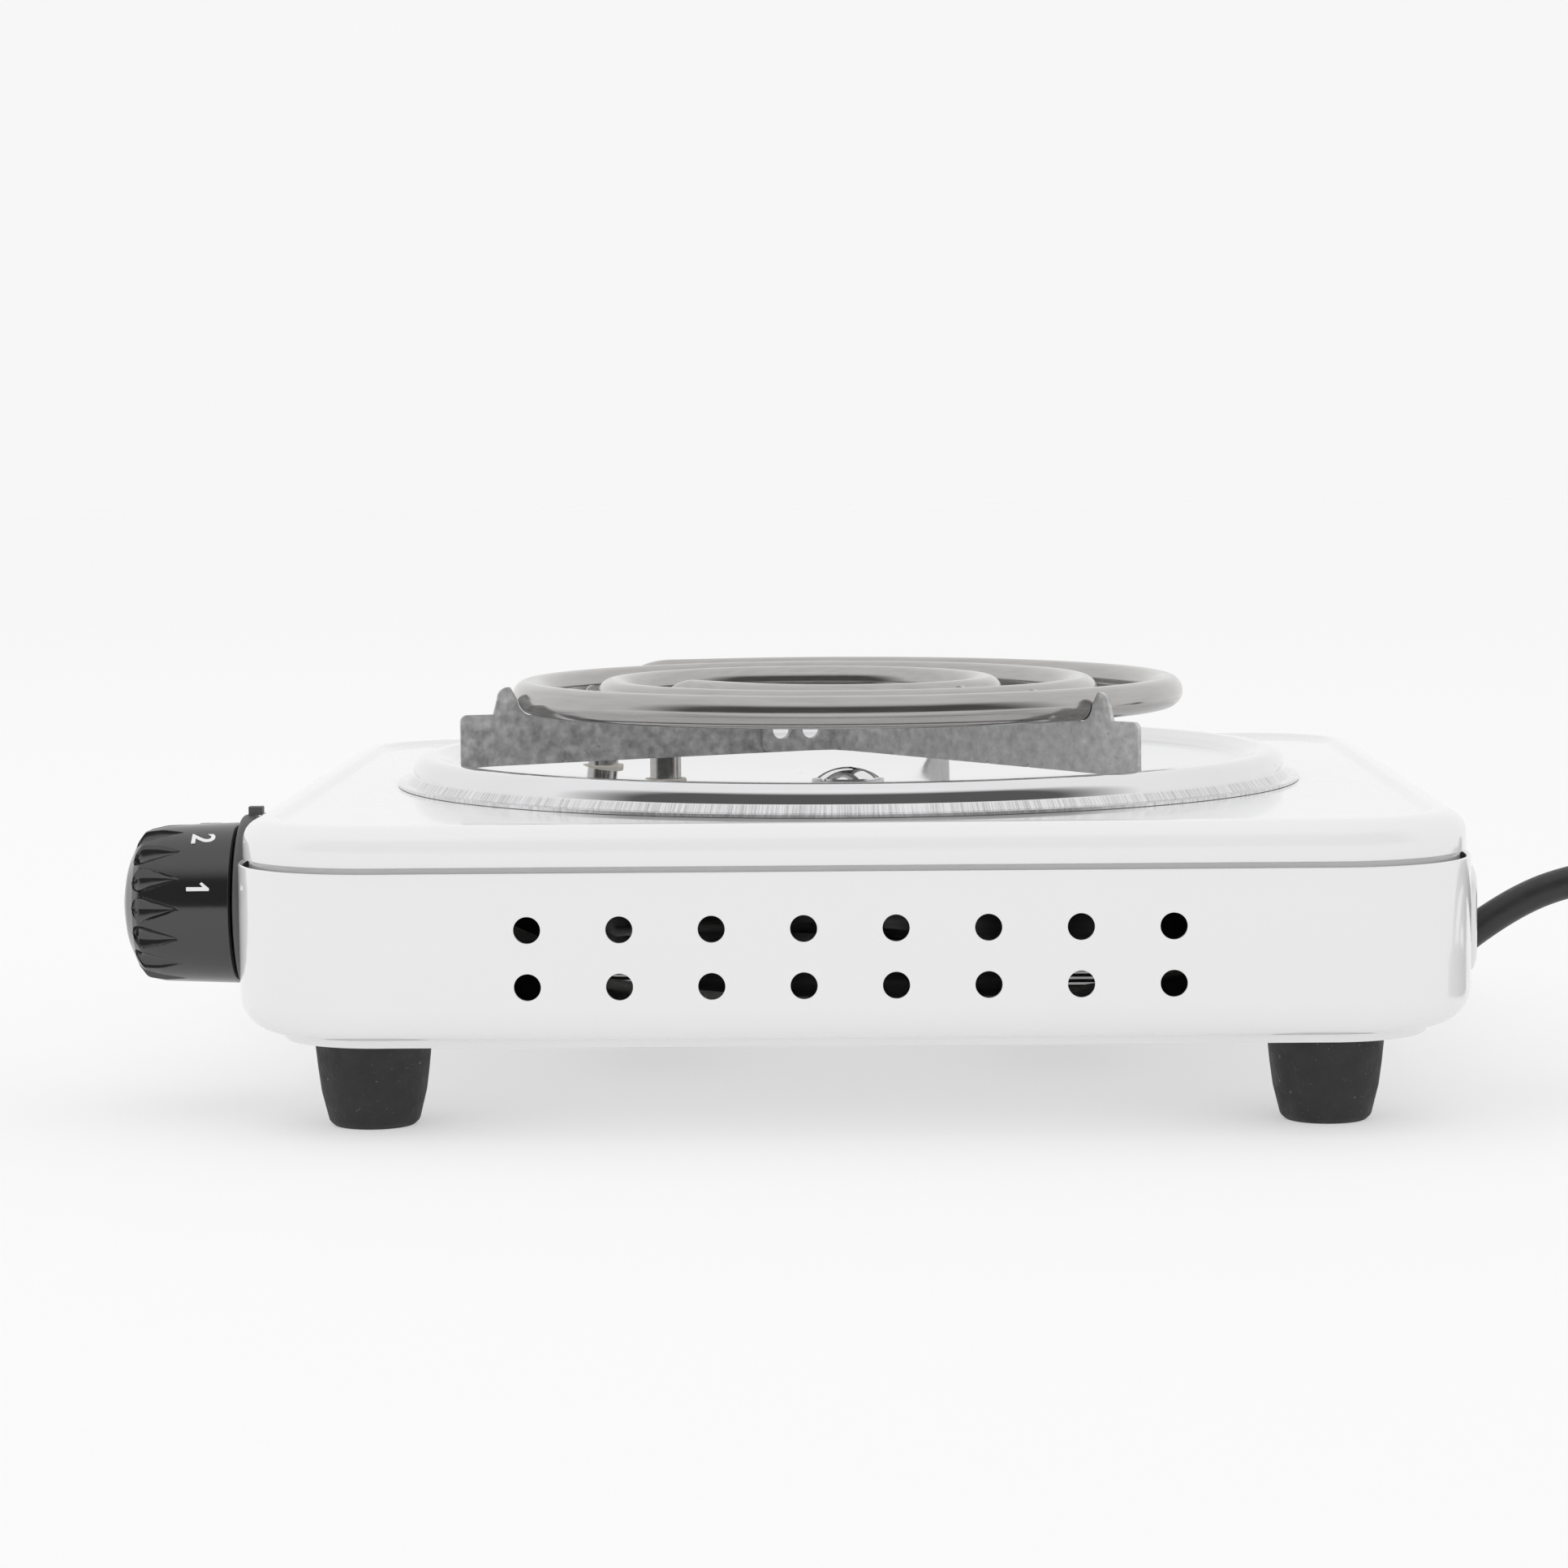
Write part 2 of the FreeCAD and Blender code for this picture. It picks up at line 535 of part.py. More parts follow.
# ---- dial and thermostat ------------------------------------------------------------------
def make_dial():
    y0 = front - bezel_depth - knob_gap     # back of the knob's skirt
    y1 = front - knob_reach                 # crown of the dome
    r = knob_radius
    knob = turned_y((0, y0), [(r, y0), (r - 0.5, y1 + 8.0), ((r - 1.0, y1 + 5.4), (r - 2.9, y1 + 3.3)),
                              ((8.2, y1 + 1.2), (3.0, y1)), (0, y1)], knob_x, knob_z)
    boss = shaft_radius + 3.0
    hollow = turned_y((boss, y0), [(r - 2.0, y0), (r - 2.8, y1 + 6.2), (boss, y1 + 4.2)], knob_x, knob_z)
    knob = knob.cut(hollow)
    for k in range(grip_count):
        x, z = polar(r + 0.7, grip_first + 360.0 * k / grip_count, knob_x, knob_z)
        knob = knob.cut(along_y(1.9, x, z, y1 + 4.0, y1 + 11.0))
    bore = along_y(shaft_radius + 0.03, knob_x, knob_z, y1 + 4.5, y0 + 1).common(
        block(knob_x - 5, knob_x + 5, y1 + 4, y0 + 2, knob_z - 5, knob_z + 1.53))
    knob = knob.cut(bore)
    save("knob", knob)
    inner = front + sheet
    shaft = along_y(shaft_radius, knob_x, knob_z, y1 + 4.6, inner + 15.5)
    shaft = shaft.cut(block(knob_x - 5, knob_x + 5, y1, front - bezel_depth, knob_z + 1.5, knob_z + 6))
    shaft = shaft.fuse(along_y(4.4, knob_x, knob_z, inner + 4.0, inner + 5.0))
    cam = Part.makeCylinder(5.6, 3.0, V(knob_x + 0.5, inner + 12.5, knob_z), V(0, 1, 0))
    save("dial_shaft", shaft.fuse(cam).removeSplitter())
    save("bezel_seal", along_y(8.0, knob_x, knob_z, front - 1.0, front).cut(
        along_y(4.95, knob_x, knob_z, front - 3, front + 1)))
    rim = bezel_radius
    bezel = turned_y((9.0, front - 1.1), [(rim, front - 1.1), (rim, front - 1.5),
                                          ((rim - 0.3, front - 2.3), (rim - 1.1, front - bezel_depth)),
                                          (9.0, front - bezel_depth)], knob_x, knob_z)
    back = turned_y((8.2, front), [(rim, front), (rim, front - 1.2), (8.2, front - 1.2)], knob_x, knob_z)
    nib = block(knob_x - 1.4, knob_x + 1.4, front - 1.2, front + 1.5, knob_z + 16.0, cover_top - 0.2)
    nib = nib.cut(block(knob_x - 3, knob_x + 3, front - 0.02, front + 3, knob_z + 10, cover_top - 1.8))
    bezel = bezel.fuse(back).fuse(nib)
    for side in (-screw_pitch, screw_pitch):
        bezel = bezel.cut(along_y(3.0, knob_x + side, knob_z, front - 1.05, front + 1))
    save("dial_bezel", bezel.removeSplitter())


def make_thermostat():
    inner = front + sheet
    plate = block(knob_x - 17, knob_x + 17, inner, inner + 1.2, knob_z - 9, knob_z + 6.4)
    plate = plate.cut(along_y(4.2, knob_x, knob_z, inner - 1, inner + 3))
    for side in (-screw_pitch, screw_pitch):
        plate = plate.cut(along_y(clearance_hole, knob_x + side, knob_z, inner - 1, inner + 3))
    cheeks = []
    for side in (-1, 1):
        x = knob_x + side * 16.2
        cheeks.append(block(x - 0.8, x + 0.8, inner, inner + 24, knob_z - 9, knob_z + 6.4))
    save("thermostat_bracket", plate.fuse(cheeks[0]).fuse(cheeks[1]).removeSplitter())
    bush = along_y(6.5, knob_x, knob_z, inner + 1.2, inner + 3.8)
    bush = bush.fuse(along_y(4.15, knob_x, knob_z, inner - 0.6, inner + 1.2))
    bush = bush.cut(along_y(shaft_radius + 0.04, knob_x, knob_z, inner - 2, inner + 6))
    save("shaft_bush", bush)
    base = block(knob_x - 15.3, knob_x + 15.3, inner + 6, inner + 24, knob_z - 9, knob_z + 9)
    base = base.cut(block(knob_x - 11.5, knob_x + 11.5, inner + 5, inner + 20, knob_z - 6.4, knob_z + 10))
    base = base.cut(along_y(0.85, knob_x - 9.6, knob_z + 7.2, inner + 5, inner + 26))
    save("thermostat_base", base)
    bimetal = block(knob_x - 11, knob_x + 9, inner + 17.6, inner + 18.4, knob_z - 2.5, knob_z + 4.5)
    bimetal = bimetal.fuse(block(knob_x - 11, knob_x - 9, inner + 16.4, inner + 20,
                                 knob_z - 2.5, knob_z + 4.5))
    save("bimetal_strip", bimetal)
    lever = block(knob_x - 9.6, knob_x + 10.4, inner + 12.8, inner + 15.2, knob_z + 6.7, knob_z + 7.7)
    lever = lever.fuse(along_y(1.4, knob_x - 9.6, knob_z + 7.2, inner + 12.8, inner + 15.2))
    lever = lever.cut(along_y(0.83, knob_x - 9.6, knob_z + 7.2, inner + 12, inner + 16))
    save("contact_lever", lever)
    pivot = along_y(0.8, knob_x - 9.6, knob_z + 7.2, inner + 7.0, inner + 20.5)
    save("lever_pivot", pivot)
    tags = []
    for side in (-9, 9):
        x = knob_x + side
        tags.append(block(x - 3.1, x + 3.1, inner + 24, inner + 33, knob_z - 4.4, knob_z - 3.6))
    save("thermostat_terminals", *tags)
    screws = []
    for side in (-screw_pitch, screw_pitch):
        x = knob_x + side
        screw = along_y(1.45, x, knob_z, front - 0.1, inner + 4.0)
        head = along_y(2.7, x, knob_z, front - 0.95, front)
        screws.append(screw.fuse(head))
    save("bracket_screws", *screws)


def make_pilot_lamp():
    lens = turned_y((0, front - 1.9), [((2.6, front - 1.5), (4.6, front - 0.4)), (4.6, front), (4.0, front),
                                       (4.0, front + 9.0), (0, front + 9.0)], lamp_x, lamp_z)
    lens = lens.cut(along_y(3.1, lamp_x, lamp_z, front + 0.6, front + 10))
    save("pilot_lens", lens)
    neon = turned_y((0, front + 1.4), [((1.6, front + 2.0), (2.6, front + 3.8)), (2.6, front + 13),
                                       (0, front + 13)], lamp_x, lamp_z)
    save("pilot_lamp", neon)


# ---- mains lead ---------------------------------------------------------------------------
def make_bushing():
    """Snap-in strain relief: a flange inside, a grooved neck, and a tapered nose outside."""
    wall = case_half + pad_proud
    inner = case_half - sheet
    bush = turned_y((0, inner - 12), [(4.6, inner - 12), (5.6, inner - 2), (6.6, inner - 1.9), (6.6, inner),
                                      (bushing_neck, inner), (bushing_neck, wall), (5.4, wall),
                                      (5.4, wall + 0.3), (0, wall + 0.3)], cord_x, exit_z)
    a = math.radians(exit_tilt)
    start = V(*lead_route[0]) - V(0, case_y, 0)
    bore = Part.makeCylinder(cord_size / 2, 30, start, V(0, math.cos(a), math.sin(a)))
    bush = bush.cut(bore)
    save("cord_bushing", bush)


def make_lead():
    edges = route_edges(lead_route)
    rod = swept(edges, cord_size / 2)
    print("lead length", round(sum(e.Length for e in edges), 1))
    middle_x, middle_y = coil_middle
    r0 = coil_rings[0] - cord_size / 2 - 0.1
    r1 = coil_rings[1] + cord_size / 2 + 0.1
    top = coil_layers[1] + cord_size / 2
    ring = turned((r0 + 2.5, 0), [(r1 - 2.5, 0), ((r1 - 0.73, 0.73), (r1, 2.5)), (r1, top - 2.5),
                                  ((r1 - 0.73, top - 0.73), (r1 - 2.5, top)), (r0 + 2.5, top),
                                  ((r0 + 0.73, top - 0.73), (r0, top - 2.5)), (r0, 2.5),
                                  ((r0 + 0.73, 0.73), (r0 + 2.5, 0))], middle_x, middle_y)
    tail_edges = route_edges(tail_route)
    tail = swept(tail_edges, cord_size / 2)
    print("tail length", round(sum(e.Length for e in tail_edges), 1))
    tie_angle = 215.0
    tx, ty = polar((r0 + r1) / 2, tie_angle, middle_x, middle_y)
    half = (r1 - r0) / 2
    tie = block(-half - 1.2, half + 1.2, -3.0, 3.0, 0.0, top + 1.2)
    tie = tie.cut(block(-half - 0.05, half + 0.05, -4.0, 4.0, -1.0, top + 0.05))
    tie.rotate(V(0, 0, 0), V(0, 0, 1), tie_angle)
    tie.translate(V(tx, ty, 0))
    save("cord_lead", rod.cut(ring), shift=0)
    save("cord_coil", ring, shift=0)
    save("cord_tail", tail.cut(ring), shift=0)
    save("cord_tie", tie, shift=0)


def make_plug():
    """Moulded earthed plug with two round pins, lying on its side."""
    def turned_x(start, steps):
        face = Part.Face(Part.Wire(outline_edges(start, steps, lambda p: V(p[1], p[0], 0))))
        solid = face.revolve(V(0, 0, 0), V(1, 0, 0), 360)
        solid.translate(V(0, plug_y, plug_z))
        return solid
    x = plug_x
    body = turned_x((0, x), [(4.6, x), (6.2, x - 20), ((8.6, x - 25), (13.2, x - 29)),
                             (plug_radius, x - 34), (plug_radius, x - plug_length + 2),
                             ((plug_radius - 0.6, x - plug_length + 0.4), (plug_radius - 2, x - plug_length)),
                             (0, x - plug_length)])
    bore = along_x(cord_size / 2, x - 12, x + 5, plug_y, plug_z)
    body = body.cut(bore)
    for side in (-1, 1):
        flat = block(x - 60, x - 28, plug_y - 30, plug_y + 30, 0, 1.2)
        if side > 0:
            flat.rotate(V(x, plug_y, plug_z), V(1, 0, 0), 180)
        body = body.cut(flat)
        clip_slot = block(x - 52, x - 44, plug_y + side * clip_y - 2.4, plug_y + side * clip_y + 2.4,
                          plug_z - 3, plug_z + 3)
        body = body.cut(clip_slot)
        body = body.cut(along_x(pin_neck + 0.02, x - 55, x - 42, plug_y, plug_z + side * pin_spacing / 2))
    save("plug_body", body, shift=0)
    pins = []
    for side in (-1, 1):
        z = plug_z + side * pin_spacing / 2
        pin = along_x(pin_radius, x - 70, x - plug_length - 0.5, plug_y, z)
        tip = [e for e in pin.Edges if e.BoundBox.XMax < x - 69.9]
        root = along_x(pin_neck, x - plug_length - 0.5, x - 42, plug_y, z)
        pins.append(pin.makeFillet(1.2, tip).fuse(root))
    save("plug_pins", *pins, shift=0)
    clips = []
    for side in (-1, 1):
        y = plug_y + side * clip_y
        clips.append(block(x - 51, x - 44.1, y - 0.4, y + 0.4, plug_z - 2.2, plug_z + 2.2))
    save("plug_earth_clips", *clips, shift=0)


# ---- inside wiring ------------------------------------------------------------------------
def make_wiring():
    inner = front + sheet
    gap = case_half - sheet - 13
    tag_y = inner + 33.6
    z = exit_z
    t1 = leg_spots[0]
    t2 = leg_spots[1]
    wires = {
        "live_wire": [(cord_x + 2.6, gap, z), (cord_x + 3.4, gap - 16, z), (64, 60, 24), (98, 30, 23),
                      (100, -20, 24), (92, -56, 28), (knob_x + 9, tag_y + 16, knob_z - 4), (knob_x + 9, tag_y, knob_z - 4)],
        "switched_wire": [(knob_x - 9, tag_y, knob_z - 4), (knob_x - 9, tag_y + 12, knob_z - 6),
                          (40, -58, 26), (18, -46, 24), (t1[0], t1[1] + pan_back, 24),
                          (t1[0], t1[1] + pan_back, 31)],
        "neutral_wire": [(cord_x - 2.6, gap, z), (cord_x - 4, gap - 16, z), (36, 62, 25), (6, 30, 23),
                         (-30, -4, 23), (-36, -40, 23), (t2[0], t2[1] + pan_back, 23.5), (t2[0], t2[1] + pan_back, 31)],
        "earth_wire": [(cord_x, gap, z - 2.6), (cord_x, gap - 8, z - 4), (earth_x - 4, 87, 24.0),
                       (earth_x - 4, earth_y, floor_top + 2.6)],
    }
    for name, route in wires.items():
        rod = swept(route_edges(route), 1.15)
        save(name, rod)
    tag = block(earth_x - 4, earth_x + 4, earth_y - 3.2, earth_y + 3.2, floor_top, floor_top + 0.8)
    save("earth_tag", tag.cut(upright(clearance_hole, earth_x, earth_y, 15, 25)))
    earth = upright(1.5, earth_x, earth_y, foot_height - 1.5, floor_top + 4).fuse(
        upright(2.9, earth_x, earth_y, foot_height - 1.8, foot_height))
    save("earth_screw", earth)
    hexagon = [V(*polar(3.2, 60 * k, earth_x, earth_y), floor_top + 0.8) for k in range(7)]
    nut = Part.Face(Part.makePolygon(hexagon)).extrude(V(0, 0, 2.4))
    save("earth_nut", nut.cut(upright(1.52, earth_x, earth_y, 15, 30)))


os.makedirs("parts", exist_ok=True)
make_lower_case()
make_top_cover()
make_posts_and_feet()
make_drip_pan()
make_pan_clamp()
make_heating_coil()
for number in range(3):
    make_support_arm(number)
make_dial()
make_thermostat()
make_pilot_lamp()
make_bushing()
make_lead()
make_plug()
make_wiring()
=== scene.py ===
import math
import bpy
import bmesh
from mathutils import Matrix, Vector


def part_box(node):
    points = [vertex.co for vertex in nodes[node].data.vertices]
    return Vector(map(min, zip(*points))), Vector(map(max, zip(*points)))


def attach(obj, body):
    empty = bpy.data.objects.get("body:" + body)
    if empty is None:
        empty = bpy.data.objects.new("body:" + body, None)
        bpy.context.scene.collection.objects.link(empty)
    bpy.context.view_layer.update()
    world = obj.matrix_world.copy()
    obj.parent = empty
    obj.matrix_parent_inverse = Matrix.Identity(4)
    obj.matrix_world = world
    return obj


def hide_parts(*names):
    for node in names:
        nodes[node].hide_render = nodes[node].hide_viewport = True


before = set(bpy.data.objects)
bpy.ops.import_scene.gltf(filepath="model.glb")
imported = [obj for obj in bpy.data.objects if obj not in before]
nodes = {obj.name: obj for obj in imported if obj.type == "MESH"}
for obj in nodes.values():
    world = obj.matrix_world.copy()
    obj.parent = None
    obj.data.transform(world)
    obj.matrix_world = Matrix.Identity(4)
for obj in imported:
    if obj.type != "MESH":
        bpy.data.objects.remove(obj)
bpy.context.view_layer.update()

mm = 0.001


def boxOf(node):
    return [Vector(c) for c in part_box(node)]


def middleOf(node):
    low, high = boxOf(node)
    return (low + high) / 2


caseMiddleY = middleOf("top_cover").y  # the case's middle along the lead
panMiddle = middleOf("drip_pan")
knobMiddle = middleOf("dial_shaft")


cameraSettings = {
    "place": (0.9187, 0.0160, 0.1330),  # metres, from the footprint's middle
    "lens": 100.8,
    "turn": 1.225,  # degrees towards the dial
    "down": 4.733,
    "roll": -0.55,
}


def makeCamera(s):
    data = bpy.data.cameras.new("viewCamera")
    data.lens = s["lens"]
    data.sensor_width = 36
    data.clip_start = 0.01
    data.clip_end = 20
    camera = bpy.data.objects.new("viewCamera", data)
    bpy.context.collection.objects.link(camera)
    turn = Matrix.Rotation(math.radians(90 + s["turn"]), 4, "Z")
    tilt = Matrix.Rotation(math.radians(90 - s["down"]), 4, "X")
    roll = Matrix.Rotation(math.radians(s["roll"]), 4, "Z")
    camera.matrix_world = Matrix.Translation(s["place"]) @ turn @ tilt @ roll
    bpy.context.scene.camera = camera


studioSettings = {
    "backdrop": 0.93,  # what the camera sees behind
    "sky": 0.91,
    "mirroredSky": 0.95,
    "darkRoom": 0.11,  # behind the camera, as polished metal sees it
    "darkUpTo": 0.81,  # 0.5 is level, 1 is straight up
    "overhead": [(0.90, 0.85), (1.0, 1.15)],
    "darkSide": (0.15, 0.55),  # the dark part fades in over this much of the way towards the camera
    "floorSize": 6.0,
    "floorPaper": 0.56,
    "floorGlow": 0.40,
    "key": {"place": (-0.1, -0.55, 1.5), "aim": (0, 0, 0), "size": 1.6, "power": 2.0},
    "softbox": {"place": (1.5, 0.1, 0.95), "aim": (0.08, 0.01, 0.06), "size": 0.55, "power": 1.1},
}


def makeStudio(s):
    world = bpy.data.worlds.new("studioWorld")
    bpy.context.scene.world = world
    world.use_nodes = True
    tree = world.node_tree
    tree.nodes.clear()
    out = tree.nodes.new("ShaderNodeOutputWorld")
    path = tree.nodes.new("ShaderNodeLightPath")
    grounds = {}
    for name in ("backdrop", "sky", "mirroredSky"):
        grounds[name] = tree.nodes.new("ShaderNodeBackground")
        grounds[name].inputs["Color"].default_value = (s[name], s[name], s[name], 1)
    coord = tree.nodes.new("ShaderNodeTexCoord")
    split = tree.nodes.new("ShaderNodeSeparateXYZ")
    height = tree.nodes.new("ShaderNodeMapRange")
    height.inputs["From Min"].default_value = -1
    ramp = tree.nodes.new("ShaderNodeValToRGB")
    side = tree.nodes.new("ShaderNodeMapRange")
    side.inputs["From Min"].default_value = s["darkSide"][0]
    side.inputs["From Max"].default_value = s["darkSide"][1]
    blend = tree.nodes.new("ShaderNodeMix")
    blend.data_type = "RGBA"
    tree.links.new(coord.outputs["Generated"], split.inputs[0])
    tree.links.new(split.outputs["Z"], height.inputs["Value"])
    tree.links.new(height.outputs[0], ramp.inputs[0])
    tree.links.new(split.outputs["X"], side.inputs["Value"])
    tree.links.new(side.outputs[0], blend.inputs[0])
    sky = s["mirroredSky"]
    blend.inputs[6].default_value = (sky, sky, sky, 1)
    tree.links.new(ramp.outputs[0], blend.inputs[7])
    dark = s["darkRoom"]
    ramp.color_ramp.elements.remove(ramp.color_ramp.elements[0])
    for k, (at, value) in enumerate([(0.0, dark), (s["darkUpTo"], dark)] + s["overhead"]):
        stop = ramp.color_ramp.elements[0] if k == 0 else ramp.color_ramp.elements.new(at)
        stop.position = at
        stop.color = (value, value, value, 1)
    tree.links.new(blend.outputs[2], grounds["mirroredSky"].inputs["Color"])
    glossy = tree.nodes.new("ShaderNodeMixShader")
    tree.links.new(path.outputs["Is Glossy Ray"], glossy.inputs[0])
    tree.links.new(grounds["sky"].outputs[0], glossy.inputs[1])
    tree.links.new(grounds["mirroredSky"].outputs[0], glossy.inputs[2])
    seen = tree.nodes.new("ShaderNodeMixShader")
    tree.links.new(path.outputs["Is Camera Ray"], seen.inputs[0])
    tree.links.new(glossy.outputs[0], seen.inputs[1])
    tree.links.new(grounds["backdrop"].outputs[0], seen.inputs[2])
    tree.links.new(seen.outputs[0], out.inputs["Surface"])
    h = s["floorSize"]
    paper = finish("floorPaper", (s["floorPaper"],) * 3, (0.75, 0.85), 3, shade=0.01)
    glow = s["floorGlow"]
    shader = paper.node_tree.nodes["Principled BSDF"]
    shader.inputs["Emission Color"].default_value = (glow, glow, glow, 1)
    shader.inputs["Emission Strength"].default_value = 1
    shader.inputs["Specular IOR Level"].default_value = 0.1
    floor = meshPiece("floor", [(-h, -h, 0), (h, -h, 0), (h, h, 0), (-h, h, 0)], [(0, 1, 2, 3)], paper)
    addLight("keyLight", **s["key"])
    addLight("softbox", **s["softbox"])


def addLight(name, place, aim, size, power):
    data = bpy.data.lights.new(name, "AREA")
    data.shape = "SQUARE"
    data.size = size
    data.energy = power
    lamp = bpy.data.objects.new(name, data)
    bpy.context.collection.objects.link(lamp)
    lamp.location = place
    direction = Vector(aim) - Vector(place)
    lamp.visible_glossy = False
    lamp.rotation_mode = "QUATERNION"
    lamp.rotation_quaternion = direction.to_track_quat("-Z", "Y")


def finish(name, base, rough=(0.3, 0.4), scale=80.0, metal=0.0, shade=0.08, bump=0.0, bumpScale=400.0,
           stretch=(1, 1, 1), coat=0.0, specks=None, detail=4.0):
    made = bpy.data.materials.get(name)
    if made:
        return made
    made = bpy.data.materials.new(name)
    made.use_nodes = True
    tree = made.node_tree
    shader = tree.nodes["Principled BSDF"]
    shader.inputs["Metallic"].default_value = metal
    shader.inputs["Coat Weight"].default_value = coat
    coord = tree.nodes.new("ShaderNodeTexCoord")
    mapping = tree.nodes.new("ShaderNodeMapping")
    mapping.inputs["Scale"].default_value = stretch
    tree.links.new(coord.outputs["Object"], mapping.inputs["Vector"])
    noise = tree.nodes.new("ShaderNodeTexNoise")
    noise.inputs["Scale"].default_value = scale
    noise.inputs["Detail"].default_value = detail
    tree.links.new(mapping.outputs[0], noise.inputs["Vector"])
    colours = tree.nodes.new("ShaderNodeMix")
    colours.data_type = "RGBA"
    colours.inputs[6].default_value = tuple(c * (1 - shade) for c in base) + (1,)
    colours.inputs[7].default_value = tuple(min(1, c * (1 + shade)) for c in base) + (1,)
    tree.links.new(noise.outputs["Fac"], colours.inputs[0])
    last = colours.outputs[2]
    if specks:
        fine = tree.nodes.new("ShaderNodeTexNoise")
        fine.inputs["Scale"].default_value = specks["scale"]
        fine.inputs["Detail"].default_value = 2
        tree.links.new(mapping.outputs[0], fine.inputs["Vector"])
        gate = tree.nodes.new("ShaderNodeMapRange")
        gate.inputs["From Min"].default_value = specks["from"]
        gate.inputs["From Max"].default_value = specks["from"] + 0.06
        tree.links.new(fine.outputs["Fac"], gate.inputs["Value"])
        dusty = tree.nodes.new("ShaderNodeMix")
        dusty.data_type = "RGBA"
        tree.links.new(gate.outputs[0], dusty.inputs[0])
        tree.links.new(last, dusty.inputs[6])
        dusty.inputs[7].default_value = tuple(specks["colour"]) + (1,)
        last = dusty.outputs[2]
    tree.links.new(last, shader.inputs["Base Color"])
    sheen = tree.nodes.new("ShaderNodeMapRange")
    sheen.inputs["From Min"].default_value = 0.3
    sheen.inputs["From Max"].default_value = 0.7
    sheen.inputs["To Min"].default_value = rough[0]
    sheen.inputs["To Max"].default_value = rough[1]
    tree.links.new(noise.outputs["Fac"], sheen.inputs["Value"])
    tree.links.new(sheen.outputs[0], shader.inputs["Roughness"])
    if bump:
        grain = tree.nodes.new("ShaderNodeTexNoise")
        grain.inputs["Scale"].default_value = bumpScale
        grain.inputs["Detail"].default_value = 3
        tree.links.new(mapping.outputs[0], grain.inputs["Vector"])
        relief = tree.nodes.new("ShaderNodeBump")
        relief.inputs["Strength"].default_value = bump
        relief.inputs["Distance"].default_value = 0.0004
        tree.links.new(grain.outputs["Fac"], relief.inputs["Height"])
        tree.links.new(relief.outputs[0], shader.inputs["Normal"])
    return made


def whiteEnamel():
    return finish("whiteEnamel", (0.84, 0.84, 0.84), (0.10, 0.17), 25, shade=0.012, bump=0.02, bumpScale=90,
                  coat=0.5)


# Near-black colour for the case's inner faces: painted shade inside the case.
def insideShadePaint():
    return finish("insideShadePaint", (0.018, 0.018, 0.02), (0.4, 0.6), 60, shade=0.3)


def mirrorChrome():
    return finish("mirrorChrome", (0.80, 0.80, 0.81), (0.035, 0.09), 45, metal=1.0, shade=0.05, bump=0.04,
                  bumpScale=500, specks={"scale": 330, "from": 0.74, "colour": (0.35, 0.35, 0.35)})


# Radius, height and angle round the pan's middle, as a vector for a noise.
def roundCoords(made):
    tree = made.node_tree
    mapping = next(n for n in tree.nodes if n.bl_idname == "ShaderNodeMapping")
    mapping.inputs["Location"].default_value = (0, -panMiddle.y, 0)
    split = tree.nodes.new("ShaderNodeSeparateXYZ")
    tree.links.new(mapping.outputs[0], split.inputs[0])
    flat = tree.nodes.new("ShaderNodeVectorMath")
    flat.operation = "MULTIPLY"
    flat.inputs[1].default_value = (1, 1, 0)
    tree.links.new(mapping.outputs[0], flat.inputs[0])
    reach = tree.nodes.new("ShaderNodeVectorMath")
    reach.operation = "LENGTH"
    tree.links.new(flat.outputs[0], reach.inputs[0])
    angle = tree.nodes.new("ShaderNodeMath")
    angle.operation = "ARCTAN2"
    tree.links.new(split.outputs["Y"], angle.inputs[0])
    tree.links.new(split.outputs["X"], angle.inputs[1])
    join = tree.nodes.new("ShaderNodeCombineXYZ")
    tree.links.new(reach.outputs["Value"], join.inputs[0])
    tree.links.new(split.outputs["Z"], join.inputs[1])
    tree.links.new(angle.outputs[0], join.inputs[2])
    return join, reach


def scaled(tree, source, factors):
    drawn = tree.nodes.new("ShaderNodeVectorMath")
    drawn.operation = "MULTIPLY"
    drawn.inputs[1].default_value = factors
    tree.links.new(source, drawn.inputs[0])
    return drawn.outputs[0]


# The rim's outer foot is brushed, and its colour there is also darkened along the brushing as a painted dark
# reflection; both places are metres from the pan's middle.
rimGrainAndShade = {"from": 0.0909, "to": 0.0912, "grain": (60, 60, 330), "darkest": 0.6}


